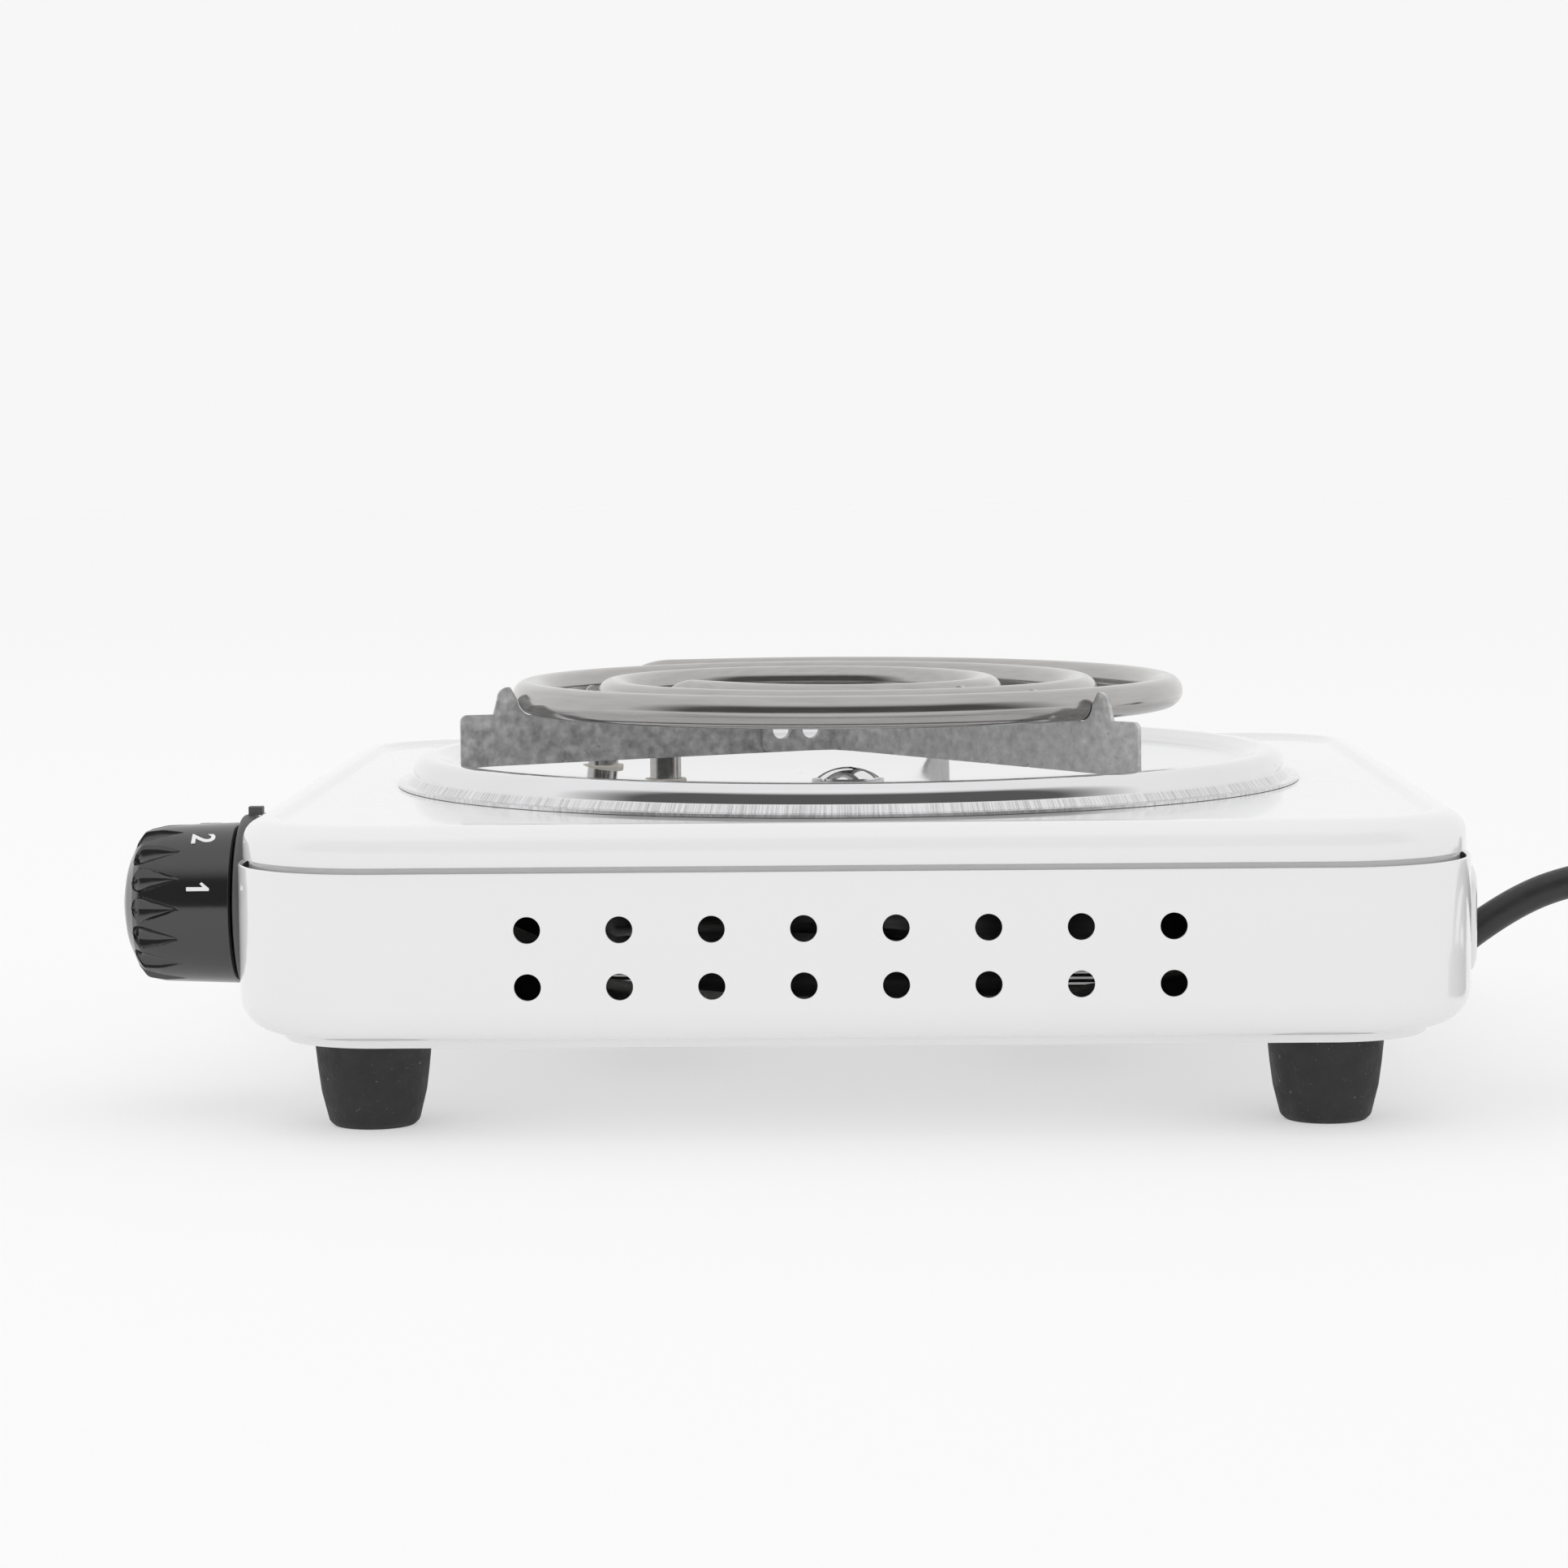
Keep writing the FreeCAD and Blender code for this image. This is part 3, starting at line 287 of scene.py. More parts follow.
def panChrome():
    made = bpy.data.materials.get("panChrome")
    if made:
        return made
    made = finish("panChrome", (0.79, 0.79, 0.80), (0.04, 0.10), 45, metal=1.0, shade=0.05,
                  specks={"scale": 330, "from": 0.745, "colour": (0.35, 0.35, 0.35)})
    tree = made.node_tree
    shader = tree.nodes["Principled BSDF"]
    join, reach = roundCoords(made)
    lines = tree.nodes.new("ShaderNodeTexNoise")
    lines.inputs["Scale"].default_value = 1
    lines.inputs["Detail"].default_value = 6
    tree.links.new(scaled(tree, join.outputs[0], rimGrainAndShade["grain"]), lines.inputs["Vector"])
    where = tree.nodes.new("ShaderNodeMapRange")
    where.inputs["From Min"].default_value = rimGrainAndShade["from"]
    where.inputs["From Max"].default_value = rimGrainAndShade["to"]
    tree.links.new(reach.outputs["Value"], where.inputs["Value"])
    # Brushed lines, darkened down to "darkest" as a painted dark reflection on the rim's outer foot.
    tone = tree.nodes.new("ShaderNodeMapRange")
    tone.inputs["From Min"].default_value = 0.3
    tone.inputs["From Max"].default_value = 0.6
    tone.inputs["To Min"].default_value = rimGrainAndShade["darkest"]
    tree.links.new(lines.outputs["Fac"], tone.inputs["Value"])
    fade = tree.nodes.new("ShaderNodeMix")
    fade.inputs[2].default_value = 1.0
    tree.links.new(where.outputs[0], fade.inputs[0])
    tree.links.new(tone.outputs[0], fade.inputs[3])
    base = shader.inputs["Base Color"].links[0].from_socket
    product = tree.nodes.new("ShaderNodeMix")
    product.data_type = "RGBA"
    product.blend_type = "MULTIPLY"
    product.inputs[0].default_value = 1.0
    tree.links.new(base, product.inputs[6])
    tree.links.new(fade.outputs[0], product.inputs[7])
    tree.links.new(product.outputs[2], shader.inputs["Base Color"])
    return made


def zincStrip():
    return finish("zincStrip", (0.93, 0.935, 0.94), (0.28, 0.60), 520, metal=0.4, shade=0.9, bump=0.35,
                  bumpScale=700, detail=9, specks={"scale": 420, "from": 0.70, "colour": (0.36, 0.36, 0.37)})


def coilSteel():
    made = bpy.data.materials.get("coilSteel")
    if made:
        return made
    made = finish("coilSteel", (0.45, 0.44, 0.43), (0.12, 0.20), 1.0, metal=1.0, shade=0.16, detail=5)
    tree = made.node_tree
    noise = next(n for n in tree.nodes if n.bl_idname == "ShaderNodeTexNoise")
    join, _ = roundCoords(made)
    drawnOut = (900, 900, 6)  # the grain runs along the turns
    tree.links.new(scaled(tree, join.outputs[0], drawnOut), noise.inputs["Vector"])
    return made


def glossBlack():
    made = finish("glossBlack", (0.011, 0.011, 0.012), (0.13, 0.2), 90, shade=0.15, bump=0.03,
                  bumpScale=300)
    made.node_tree.nodes["Principled BSDF"].inputs["Specular IOR Level"].default_value = 1.0
    return made


def matteBlack():
    return finish("matteBlack", (0.022, 0.022, 0.023), (0.5, 0.65), 200, shade=0.2, bump=0.3,
                  bumpScale=1200)


def printWhite():
    return finish("printWhite", (0.86, 0.86, 0.86), (0.35, 0.5), 300, shade=0.05)


def footRubber():
    return finish("footRubber", (0.022, 0.022, 0.022), (0.5, 0.8), 240, shade=0.4, bump=0.5, bumpScale=1300,
                  specks={"scale": 1100, "from": 0.69, "colour": (0.11, 0.11, 0.11)})


def cordJacket():
    return finish("cordJacket", (0.022, 0.022, 0.023), (0.34, 0.48), 300, shade=0.15, bump=0.2,
                  bumpScale=700)


plainFinishes = {
    "zincBright": dict(base=(0.62, 0.63, 0.65), rough=(0.2, 0.35), scale=220, metal=1.0, shade=0.1,
                       bump=0.1),
    "bushBrass": dict(base=(0.74, 0.6, 0.32), rough=(0.22, 0.36), scale=260, metal=1.0, shade=0.12,
                      bump=0.1),
    "rawCeramic": dict(base=(0.80, 0.77, 0.70), rough=(0.6, 0.8), scale=160, shade=0.06, bump=0.3),
    "shieldSheet": dict(base=(0.70, 0.71, 0.72), rough=(0.25, 0.42), scale=70, metal=1.0, shade=0.08,
                        bump=0.1),
    "lensRed": dict(base=(0.55, 0.03, 0.015), rough=(0.08, 0.16), scale=120, shade=0.15, coat=0.4),
    "lampGlass": dict(base=(0.85, 0.75, 0.62), rough=(0.05, 0.12), scale=120, shade=0.05),
    "bezelGrey": dict(base=(0.085, 0.085, 0.087), rough=(0.45, 0.6), scale=260, shade=0.2, bump=0.2),
    "sleeveWhite": dict(base=(0.70, 0.69, 0.66), rough=(0.6, 0.75), scale=300, shade=0.2, bump=0.3),
    "sleeveGrey": dict(base=(0.30, 0.30, 0.30), rough=(0.5, 0.65), scale=300, shade=0.2, bump=0.3),
    "wireGreen": dict(base=(0.10, 0.33, 0.05), rough=(0.4, 0.5), scale=300, shade=0.25),
}


def plain(name):
    return finish(name, **plainFinishes[name])


def meshPiece(name, points, faces, material, smooth=None, recalc=False):
    mesh = bpy.data.meshes.new(name)
    mesh.from_pydata([tuple(p) for p in points], [], faces)
    if recalc:
        work = bmesh.new()
        work.from_mesh(mesh)
        bmesh.ops.remove_doubles(work, verts=work.verts, dist=1e-7)
        bmesh.ops.recalc_face_normals(work, faces=work.faces)
        work.to_mesh(mesh)
        work.free()
    made = bpy.data.objects.new(name, mesh)
    bpy.context.collection.objects.link(made)
    if material:
        mesh.materials.append(material)
    if smooth is not None:
        shadeBy(made, smooth)
    return made


def shadeBy(piece, degrees):
    piece.data.shade_smooth()
    piece.data.set_sharp_from_angle(angle=math.radians(degrees))


# A line through points whose third number rounds the corner.
def softLine(points, steps=6, closed=False):
    made = []
    count = len(points)
    for k, spot in enumerate(points):
        x, y = spot[0], spot[1]
        r = spot[2] if len(spot) > 2 else 0
        if not r or (not closed and k in (0, count - 1)):
            made.append((x, y))
            continue
        here = Vector((x, y))
        before = (Vector(points[k - 1][:2]) - here).normalized()
        after = (Vector(points[(k + 1) % count][:2]) - here).normalized()
        turn = math.pi - before.angle(after)
        reach = r * math.tan(turn / 2)
        middle = here + (before + after).normalized() * (r / math.cos(turn / 2))
        a = here + before * reach - middle
        b = here + after * reach - middle
        a0 = math.atan2(a.y, a.x)
        sweep = math.atan2(b.y, b.x) - a0
        sweep = (sweep + math.pi) % (2 * math.pi) - math.pi
        for j in range(steps + 1):
            t = a0 + sweep * j / steps
            made.append((middle.x + r * math.cos(t), middle.y + r * math.sin(t)))
    return made


# A lathe shape from radius and height pairs; ripple takes depth away round it.
def spun(name, outline, material, place, axis="Z", count=128, smooth=35, ripple=None):
    points = []
    rings = []
    for k, (r, h) in enumerate(outline):
        if r < 1e-7:
            rings.append([len(points)])
            points.append((0, 0, h))
            continue
        rings.append(list(range(len(points), len(points) + count)))
        for j in range(count):
            t = 2 * math.pi * j / count
            q = r - (ripple(t, k, r, h) if ripple else 0)
            points.append((q * math.cos(t), q * math.sin(t), h))
    faces = []
    for k in range(len(rings)):
        a, b = rings[k], rings[(k + 1) % len(rings)]
        if len(a) == 1 and len(b) == 1:
            continue
        for j in range(count):
            i = (j + 1) % count
            if len(a) == 1:
                faces.append((a[0], b[i], b[j]))
            elif len(b) == 1:
                faces.append((a[j], a[i], b[0]))
            else:
                faces.append((a[j], a[i], b[i], b[j]))
    turn = {"Z": Matrix.Identity(4), "Y": Matrix.Rotation(math.radians(90), 4, "X"),
            "X": Matrix.Rotation(math.radians(90), 4, "Y")}[axis]
    move = Matrix.Translation(place) @ turn
    return meshPiece(name, [move @ Vector(p) for p in points], faces, material, smooth, recalc=True)


def squareLoop(half, radius, z, middleY, corner=20, side=18):
    loop = []
    for k, (sx, sy) in enumerate(((1, 1), (-1, 1), (-1, -1), (1, -1))):
        for j in range(corner + 1):
            t = math.radians(90 * k + 90 * j / corner)
            loop.append((sx * (half - radius) + radius * math.cos(t),
                         sy * (half - radius) + radius * math.sin(t), z))
        nx, ny = ((-1, 1), (-1, -1), (1, -1), (1, 1))[k]
        end = loop[-1]
        t = math.radians(90 * k + 90)
        goal = (nx * (half - radius) + radius * math.cos(t), ny * (half - radius) + radius * math.sin(t))
        for j in range(1, side):
            f = j / side
            loop.append((end[0] + (goal[0] - end[0]) * f, end[1] + (goal[1] - end[1]) * f, z))
    return [Vector((x, y + middleY, z)) for x, y, z in loop]


def roundLoop(like, radius, z, middleY, middle):
    loop = []
    for p in like:
        t = math.atan2(p.y - middleY, p.x)
        loop.append(Vector((middle.x + radius * math.cos(t), middle.y + radius * math.sin(t), z)))
    return loop


def skin(name, loops, material, close=True, cap=False, smooth=30):
    count = len(loops[0])
    points = [p for loop in loops for p in loop]
    faces = []
    spans = len(loops) if close else len(loops) - 1
    for k in range(spans):
        a = k * count
        b = ((k + 1) % len(loops)) * count
        for j in range(count):
            i = (j + 1) % count
            faces.append((a + j, a + i, b + i, b + j))
    if cap:
        faces.append(tuple(range(count)))
        faces.append(tuple(reversed(range((len(loops) - 1) * count, len(loops) * count))))
    return meshPiece(name, points, faces, material, smooth, recalc=True)


def cutWith(piece, cutter, mode="DIFFERENCE"):
    change = piece.modifiers.new("cut", "BOOLEAN")
    change.object = cutter
    change.operation = mode
    change.solver = "EXACT"
    settle(piece)
    bpy.data.objects.remove(cutter)


def settle(piece):
    graph = bpy.context.evaluated_depsgraph_get()
    solid = bpy.data.meshes.new_from_object(piece.evaluated_get(graph))
    piece.modifiers.clear()
    old = piece.data
    piece.data = solid
    solid.name = piece.name
    bpy.data.meshes.remove(old)


def treeWith(name, inputs):
    tree = bpy.data.node_groups.new(name, "GeometryNodeTree")
    tree.interface.new_socket("Geometry", in_out="INPUT", socket_type="NodeSocketGeometry")
    for label, kind in inputs:
        tree.interface.new_socket(label, in_out="INPUT", socket_type=kind)
    tree.interface.new_socket("Geometry", in_out="OUTPUT", socket_type="NodeSocketGeometry")
    return tree, tree.nodes.new("NodeGroupInput"), tree.nodes.new("NodeGroupOutput")


def runTree(piece, tree, values):
    change = piece.modifiers.new("build", "NODES")
    change.node_group = tree
    for item in tree.interface.items_tree:
        if item.item_type == "SOCKET" and item.in_out == "INPUT" and item.name in values:
            change[item.identifier] = values[item.name]
    settle(piece)


def endTree(tree, source, exitNode, enter, socket):
    real = tree.nodes.new("GeometryNodeRealizeInstances")
    paint = tree.nodes.new("GeometryNodeSetMaterial")
    tree.links.new(source, real.inputs[0])
    tree.links.new(real.outputs[0], paint.inputs["Geometry"])
    tree.links.new(enter.outputs[socket], paint.inputs["Material"])
    tree.links.new(paint.outputs[0], exitNode.inputs[0])


def placed(piece, node, body="housing"):
    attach(piece, body)
    for name in ([node] if isinstance(node, str) else node):
        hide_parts(name)


# Millimetres, in the row's own frame: out of the case, over and down to the stored turns.
cordSettings = {
    "diameter": 0.0062,
    "length": 0.87,
    "lead": [
        (62.0, 129.8, 30.25), (62.0, 139.2, 37.6), (62.2, 153.8, 42.9), (62.9, 170.6, 43.5),
        (63.8, 187.5, 38.0), (64.4, 202.3, 26.6), (63.8, 213.9, 15.7), (62.6, 228.6, 9.9)],
    "coilMiddle": (24.3, 234.1),
    "outerTurn": 38.1,
    "innerTurn": 31.5,
    "layers": (9.6, 3.2),
    "pointsPerTurn": 16,
    "turns": 3.25,
    "firstPoint": 0.35,  # of a step, where the stored turns begin
    "hop": 0.2,  # share of a turn in which the lead moves to its next layer
    "tail": [
        (24.3, 272.5, 3.2), (11.3, 272.3, 3.9), (-0.8, 272.1, 8.6), (-11.9, 272.0, 15.3),
        (-24.3, 272.1, 19.4), (-37.3, 272.1, 19.4)],
}


def coilPlace(turnsDone, s):
    outer, inner = s["outerTurn"], s["innerTurn"]
    high, low = s["layers"]
    stages = [(outer, high), (inner, high), (inner, low), (outer, low)]
    k = min(int(turnsDone), len(stages) - 1)
    part = turnsDone - k
    here = stages[k]
    onward = stages[min(k + 1, len(stages) - 1)]
    f = max(0.0, (part - (1 - s["hop"])) / s["hop"])
    f = f * f * (3 - 2 * f)
    return here[0] + (onward[0] - here[0]) * f, here[1] + (onward[1] - here[1]) * f


def makeCord(s):
    route = list(s["lead"])
    count = s["pointsPerTurn"]
    shrink = math.cos(math.pi / count)  # the spline runs inside its points
    total = int(s["turns"] * count)
    for k in range(1, total):
        done = (k - s["firstPoint"]) / count
        r, z = coilPlace(done, s)
        a = 2 * math.pi * done
        route.append((s["coilMiddle"][0] + r / shrink * math.cos(a),
                      s["coilMiddle"][1] + r / shrink * math.sin(a), z))
    route += s["tail"]
    data = bpy.data.curves.new("mainsLead", "CURVE")
    data.dimensions = "3D"
    data.resolution_u = 10
    data.bevel_depth = s["diameter"] / 2
    data.bevel_resolution = 7
    data.use_fill_caps = True
    line = data.splines.new("NURBS")
    line.points.add(len(route) - 1)
    for point, spot in zip(line.points, route):
        point.co = (spot[0] * mm, spot[1] * mm, spot[2] * mm, 1)
    line.order_u = 3
    line.use_endpoint_u = True
    line.use_smooth = True
    data.materials.append(cordJacket())
    lead = bpy.data.objects.new("mainsLead", data)
    bpy.context.collection.objects.link(lead)
    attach(lead, "housing")
    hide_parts("cord_lead", "cord_coil", "cord_tail")


coverSettings = {"half": 115.9, "corner": 26.9, "seam": 51.2, "top": 59.0, "edge": 4.5, "drop": 0.9,
                 "sheet": 0.9, "lip": 46.9, "lipInset": 1.1, "beadWidth": 6.1, "panelInset": 11.0,
                 "opening": 89.0}


def makeCover(s):
    low, top = s["seam"], s["top"]
    panel = top - s["drop"]
    t = s["sheet"]
    lip, bead, flat = s["lipInset"], s["beadWidth"], s["panelInset"]
    outer = softLine([(lip, s["lip"], 0.3), (lip, low + 0.45, 0.3), (0.0, low + 0.05, 0.25),
                      (0.0, top, s["edge"]), (bead, top, 1.6), (bead + 1.8, panel, 1.6), (flat, panel)], 8)
    inner = softLine([(flat, panel - t), (bead + 2.1, panel - t, 1.2), (bead + 0.3, top - t, 1.2),
                      (t, top - t, s["edge"] - t), (t, low + t + 0.3, 0.2), (lip + t, low + t, 0.2),
                      (lip + t, s["lip"])], 8)

    def ring(inset, z):
        return squareLoop((s["half"] - inset) * mm, (s["corner"] - inset) * mm, z * mm, caseMiddleY)

    loops = [ring(inset, z) for inset, z in outer]
    plan = loops[-1]
    hole = s["opening"] * mm
    far = roundLoop(plan, hole, panel * mm, caseMiddleY, panMiddle)
    for f in (0.35, 0.7, 0.97):
        loops.append([a.lerp(b, f) for a, b in zip(plan, far)])
    loops.append(far)
    near = roundLoop(plan, hole, (panel - t) * mm, caseMiddleY, panMiddle)
    loops.append(near)
    under = ring(flat, panel - t)
    for f in (0.03, 0.3, 0.65):
        loops.append([a.lerp(b, f) for a, b in zip(near, under)])
    loops += [ring(inset, z) for inset, z in inner]
    cover = skin("coverShell", loops, whiteEnamel(), close=True)
    placed(cover, "top_cover")


caseSettings = {
    "half": 116.8, "corner": 27.6, "top": 50.4, "bottom": 18.6, "sunk": 16.9, "bend": 7.0, "sheet": 0.9,
    "ventRadius": 2.5, "ventPitch": 17.0, "ventCount": 8, "ventRows": (39.9, 29.3), "ventShift": -0.5,
    "padMiddle": (62.0, 36.0), "padHalf": (15.0, 10.4), "padCorner": 5.0,
    "padSteps": ((0, -1.0), (0, 2.2), (0.35, 2.85), (1.1, 3.2)),  # inset and height of its rounded face
    "dial": (66.0, 40.0), "dialHole": 5.0, "screwPitch": 13.0, "smallHole": 1.7,
    "lamp": (12.0, 38.0), "lampHole": 4.05, "leadExit": (62.0, 31.0), "leadHole": 4.8,
    "earth": (68.0, 80.0), "footX": 90.5, "footY": (-91.6, 89.4), "footHole": 2.2,
    "slotHalf": (1.75, 9.0), "slotPitch": 9.0, "slotCount": 7, "slotRow": 42.0,
}


def ventTree():
    sizes = [("Count", "NodeSocketInt"), ("Pitch", "NodeSocketFloat"), ("Rise", "NodeSocketFloat"),
             ("Radius", "NodeSocketFloat"), ("Reach", "NodeSocketFloat"), ("Paint", "NodeSocketMaterial")]
    tree, enter, leave = treeWith("ventCutters", sizes)
    line = tree.nodes.new("GeometryNodeMeshLine")
    step = tree.nodes.new("ShaderNodeCombineXYZ")
    tree.links.new(enter.outputs["Pitch"], step.inputs[1])
    tree.links.new(enter.outputs["Count"], line.inputs["Count"])
    tree.links.new(step.outputs[0], line.inputs["Offset"])
    rows = tree.nodes.new("GeometryNodeMeshLine")
    rows.inputs["Count"].default_value = 2
    lift = tree.nodes.new("ShaderNodeCombineXYZ")
    tree.links.new(enter.outputs["Rise"], lift.inputs[2])
    tree.links.new(lift.outputs[0], rows.inputs["Offset"])
    drill = tree.nodes.new("GeometryNodeMeshCylinder")
    drill.inputs["Vertices"].default_value = 48
    tree.links.new(enter.outputs["Radius"], drill.inputs["Radius"])
    tree.links.new(enter.outputs["Reach"], drill.inputs["Depth"])
    lay = tree.nodes.new("GeometryNodeTransform")
    lay.inputs["Rotation"].default_value = (0, math.radians(90), 0)
    tree.links.new(drill.outputs["Mesh"], lay.inputs["Geometry"])
    first = tree.nodes.new("GeometryNodeInstanceOnPoints")
    tree.links.new(line.outputs[0], first.inputs["Points"])
    tree.links.new(lay.outputs[0], first.inputs["Instance"])
    second = tree.nodes.new("GeometryNodeInstanceOnPoints")
    tree.links.new(rows.outputs[0], second.inputs["Points"])
    tree.links.new(first.outputs[0], second.inputs["Instance"])
    spot = tree.nodes.new("GeometryNodeSetPosition")
    real = tree.nodes.new("GeometryNodeRealizeInstances")
    tree.links.new(second.outputs[0], real.inputs[0])
    tree.links.new(real.outputs[0], spot.inputs["Geometry"])
    endTree(tree, spot.outputs[0], leave, enter, "Paint")
    return tree


# The inner faces get a near-black colour as painted shade inside the case.
def coatInside(case, s):
    t = s["sheet"]
    low, floor = s["bottom"], s["sunk"]
    wall = t * 1.02 * mm
    for face in case.data.polygons:
        c = face.center
        sideways = Vector((c.x, c.y - caseMiddleY, 0))
        within = max(abs(c.x), abs(c.y - caseMiddleY)) < s["half"] * mm - 0.8 * wall
        onWall = c.z > (low + t * 0.8) * mm and face.normal.dot(sideways.normalized()) < 0.3
        facing = onWall or face.normal.z > 0.5
        if within and facing and (floor + 0.5 * t) * mm < c.z < (s["top"] - 0.5) * mm:
            face.material_index = 1


def makeCase(s):
    t = s["sheet"]
    low, sunk = s["bottom"], s["sunk"]
    outer = softLine([(t, s["top"], 0.3), (0, s["top"], 0.3), (0, low, s["bend"]), (7.5, low, 0.4),
                      (8.5, sunk, 0.4), (20, sunk)], 10)[1:]
    inner = softLine([(20, sunk + t), (9.4, sunk + t, 0.4), (8.4, low + t, 0.4),
                      (t, low + t, s["bend"] - t), (t, s["top"] - 0.3)], 10)
    loops = []

    def ring(inset, z):
        corner = max(4, s["corner"] - inset)
        loops.append(squareLoop((s["half"] - inset) * mm, corner * mm, z * mm, caseMiddleY))

    for inset, z in outer:
        ring(inset, z)
    inside = len(loops)
    for inset, z in inner:
        ring(inset, z)
    case = skin("caseShell", loops, whiteEnamel(), close=False)
    work = bmesh.new()
    work.from_mesh(case.data)
    count = len(loops[0])
    work.verts.ensure_lookup_table()
    work.faces.new([work.verts[(inside - 1) * count + j] for j in range(count)])
    work.faces.new([work.verts[inside * count + j] for j in reversed(range(count))])
    seam = {inside - 1, inside}  # the strip between the two surfaces inside the floor's middle
    between = [f for f in work.faces if len(f.verts) == 4 and {v.index // count for v in f.verts} == seam]
    for face in between:
        work.faces.remove(face)
    last = (len(loops) - 1) * count
    for j in range(count):
        i = (j + 1) % count
        work.faces.new((work.verts[last + j], work.verts[last + i], work.verts[i], work.verts[j]))
    bmesh.ops.recalc_face_normals(work, faces=work.faces)
    work.to_mesh(case.data)
    work.free()
    # Second slot: painted shade for the inner faces.
    case.data.materials.append(insideShadePaint())
    coatInside(case, s)
    wide, high = s["padHalf"]
    soft = s["padCorner"]
    raised = softLine([(wide, high, soft), (-wide, high, soft), (-wide, -high, soft), (wide, -high, soft)],
                      8, closed=True)
    padX, padZ = s["padMiddle"]
    loops = []
    for inset, reach in s["padSteps"]:
        y = caseMiddleY + (s["half"] + reach) * mm
        shrunk = [(x * (1 - inset / wide), z * (1 - inset / high)) for x, z in raised]
        loops.append([Vector(((padX + x) * mm, y, (padZ + z) * mm)) for x, z in shrunk])
    pad = skin("leadPad", loops, whiteEnamel(), close=False, cap=True)
    cutWith(case, pad, "UNION")
    tree = ventTree()
    rise = (s["ventRows"][0] - s["ventRows"][1]) * mm
    for side in (-1, 1):
        drills = meshPiece("drills", [(0, 0, 0)], [], whiteEnamel())
        runTree(drills, tree, {"Count": s["ventCount"], "Pitch": s["ventPitch"] * mm, "Rise": rise,
                               "Radius": s["ventRadius"] * mm, "Reach": 0.006, "Paint": whiteEnamel()})
        span = (s["ventCount"] - 1) * s["ventPitch"] / 2 * mm
        first = caseMiddleY - span + s["ventShift"] * mm
        move = Vector((side * s["half"] * mm, first, s["ventRows"][1] * mm))
        for v in drills.data.vertices:
            v.co += move
        cutWith(case, drills)
    half, small = s["half"], s["smallHole"]
    dialX, dialZ = s["dial"]
    holes = [((dialX, -half, dialZ), s["dialHole"], "Y"),
             ((s["lamp"][0], -half, s["lamp"][1]), s["lampHole"], "Y"),
             ((dialX - s["screwPitch"], -half, dialZ), small, "Y"),
             ((dialX + s["screwPitch"], -half, dialZ), small, "Y"),
             ((s["leadExit"][0], half, s["leadExit"][1]), s["leadHole"], "Y"),
             ((*s["earth"], 18), small, "Z")]
    holes += [((side * s["footX"], y, 18), s["footHole"], "Z") for side in (-1, 1) for y in s["footY"]]
    for (x, y, z), r, axis in holes:
        sideView = [(0, -6 * mm), (r * mm, -6 * mm), (r * mm, 6 * mm), (0, 6 * mm)]
        place = (x * mm, caseMiddleY + y * mm, z * mm)
        drill = spun("drill", sideView, whiteEnamel(), place, axis, 48)
        cutWith(case, drill)
    w, d = s["slotHalf"]
    shape = softLine([(w, d, 1.7), (-w, d, 1.7), (-w, -d, 1.7), (w, -d, 1.7)], 6, closed=True)
    for row in (-1, 1):
        for k in range(s["slotCount"]):
            x0 = (k - (s["slotCount"] - 1) / 2) * s["slotPitch"]
            y0 = row * s["slotRow"]
            loops = [[Vector(((x0 + x) * mm, caseMiddleY + (y0 + y) * mm, z * mm)) for x, y in shape]
                     for z in (15, 21)]
            cutWith(case, skin("slotDrill", loops, whiteEnamel(), close=False, cap=True))
    shadeBy(case, 32)
    placed(case, "lower_case")


panSettings = {"flange": 94.0, "flangeTop": 58.8, "sheet": 0.6, "bowlRadius": 82.4, "bowlMiddle": 57.3,
               "bowlRise": 4.7, "crest": 64.3, "sleeveHole": 4.36}


def makePan(s):
    def bowl(r):
        return s["bowlMiddle"] + s["bowlRise"] * (r / s["bowlRadius"]) ** 2

    t = s["sheet"]
    rim = [(s["bowlRadius"], bowl(s["bowlRadius"]), 0.7), (83.5, 63.0, 0.8), (86.0, s["crest"], 1.9),
           (90.65, s["crest"] - 0.1, 3.2), (90.95, 60.5, 0.4), (92.3, 58.95, 0.3),
           (s["flange"], s["flangeTop"])]
    top = [(0, bowl(0))] + [(r, bowl(r)) for r in range(6, 80, 4)] + softLine([(80.0, bowl(80.0))] + rim, 8)
    under = [(r - (t if r > 88 and z < 64 else 0), z - t) for r, z in reversed(top[1:-1])]
    outline = top + [(s["flange"], s["flangeTop"] - t)] + under + [(0, bowl(0) - t)]
    outline = [(r * mm, z * mm) for r, z in outline]
    pan = spun("dripPan", outline, panChrome(), (0, panMiddle.y, 0), count=256, smooth=50)
    for name in ("coil_insulator_1", "coil_insulator_2"):
        c = middleOf(name)
        r = s["sleeveHole"] * mm
        drill = spun("drill", [(0, 50 * mm), (r, 50 * mm), (r, 66 * mm), (0, 66 * mm)], panChrome(),
                     (c.x, c.y, 0), count=48)
        cutWith(pan, drill)
    shadeBy(pan, 50)
    placed(pan, "drip_pan")


coilSettings = {"tube": 6.5, "height": 76.3, "turns": (66.75, 49.1, 29.2), "tail": 75.4, "tailEnd": 196.1,
                "legs": ((3.0, -38.1), (-20.0, -52.6)), "legFoot": 44.0, "bend": 9.0, "step": 1.6,
                "runOn": 15.0, "dip": (-50.0, -55.6, 69.3), "elbow": 66.8}  # how the outer end goes down


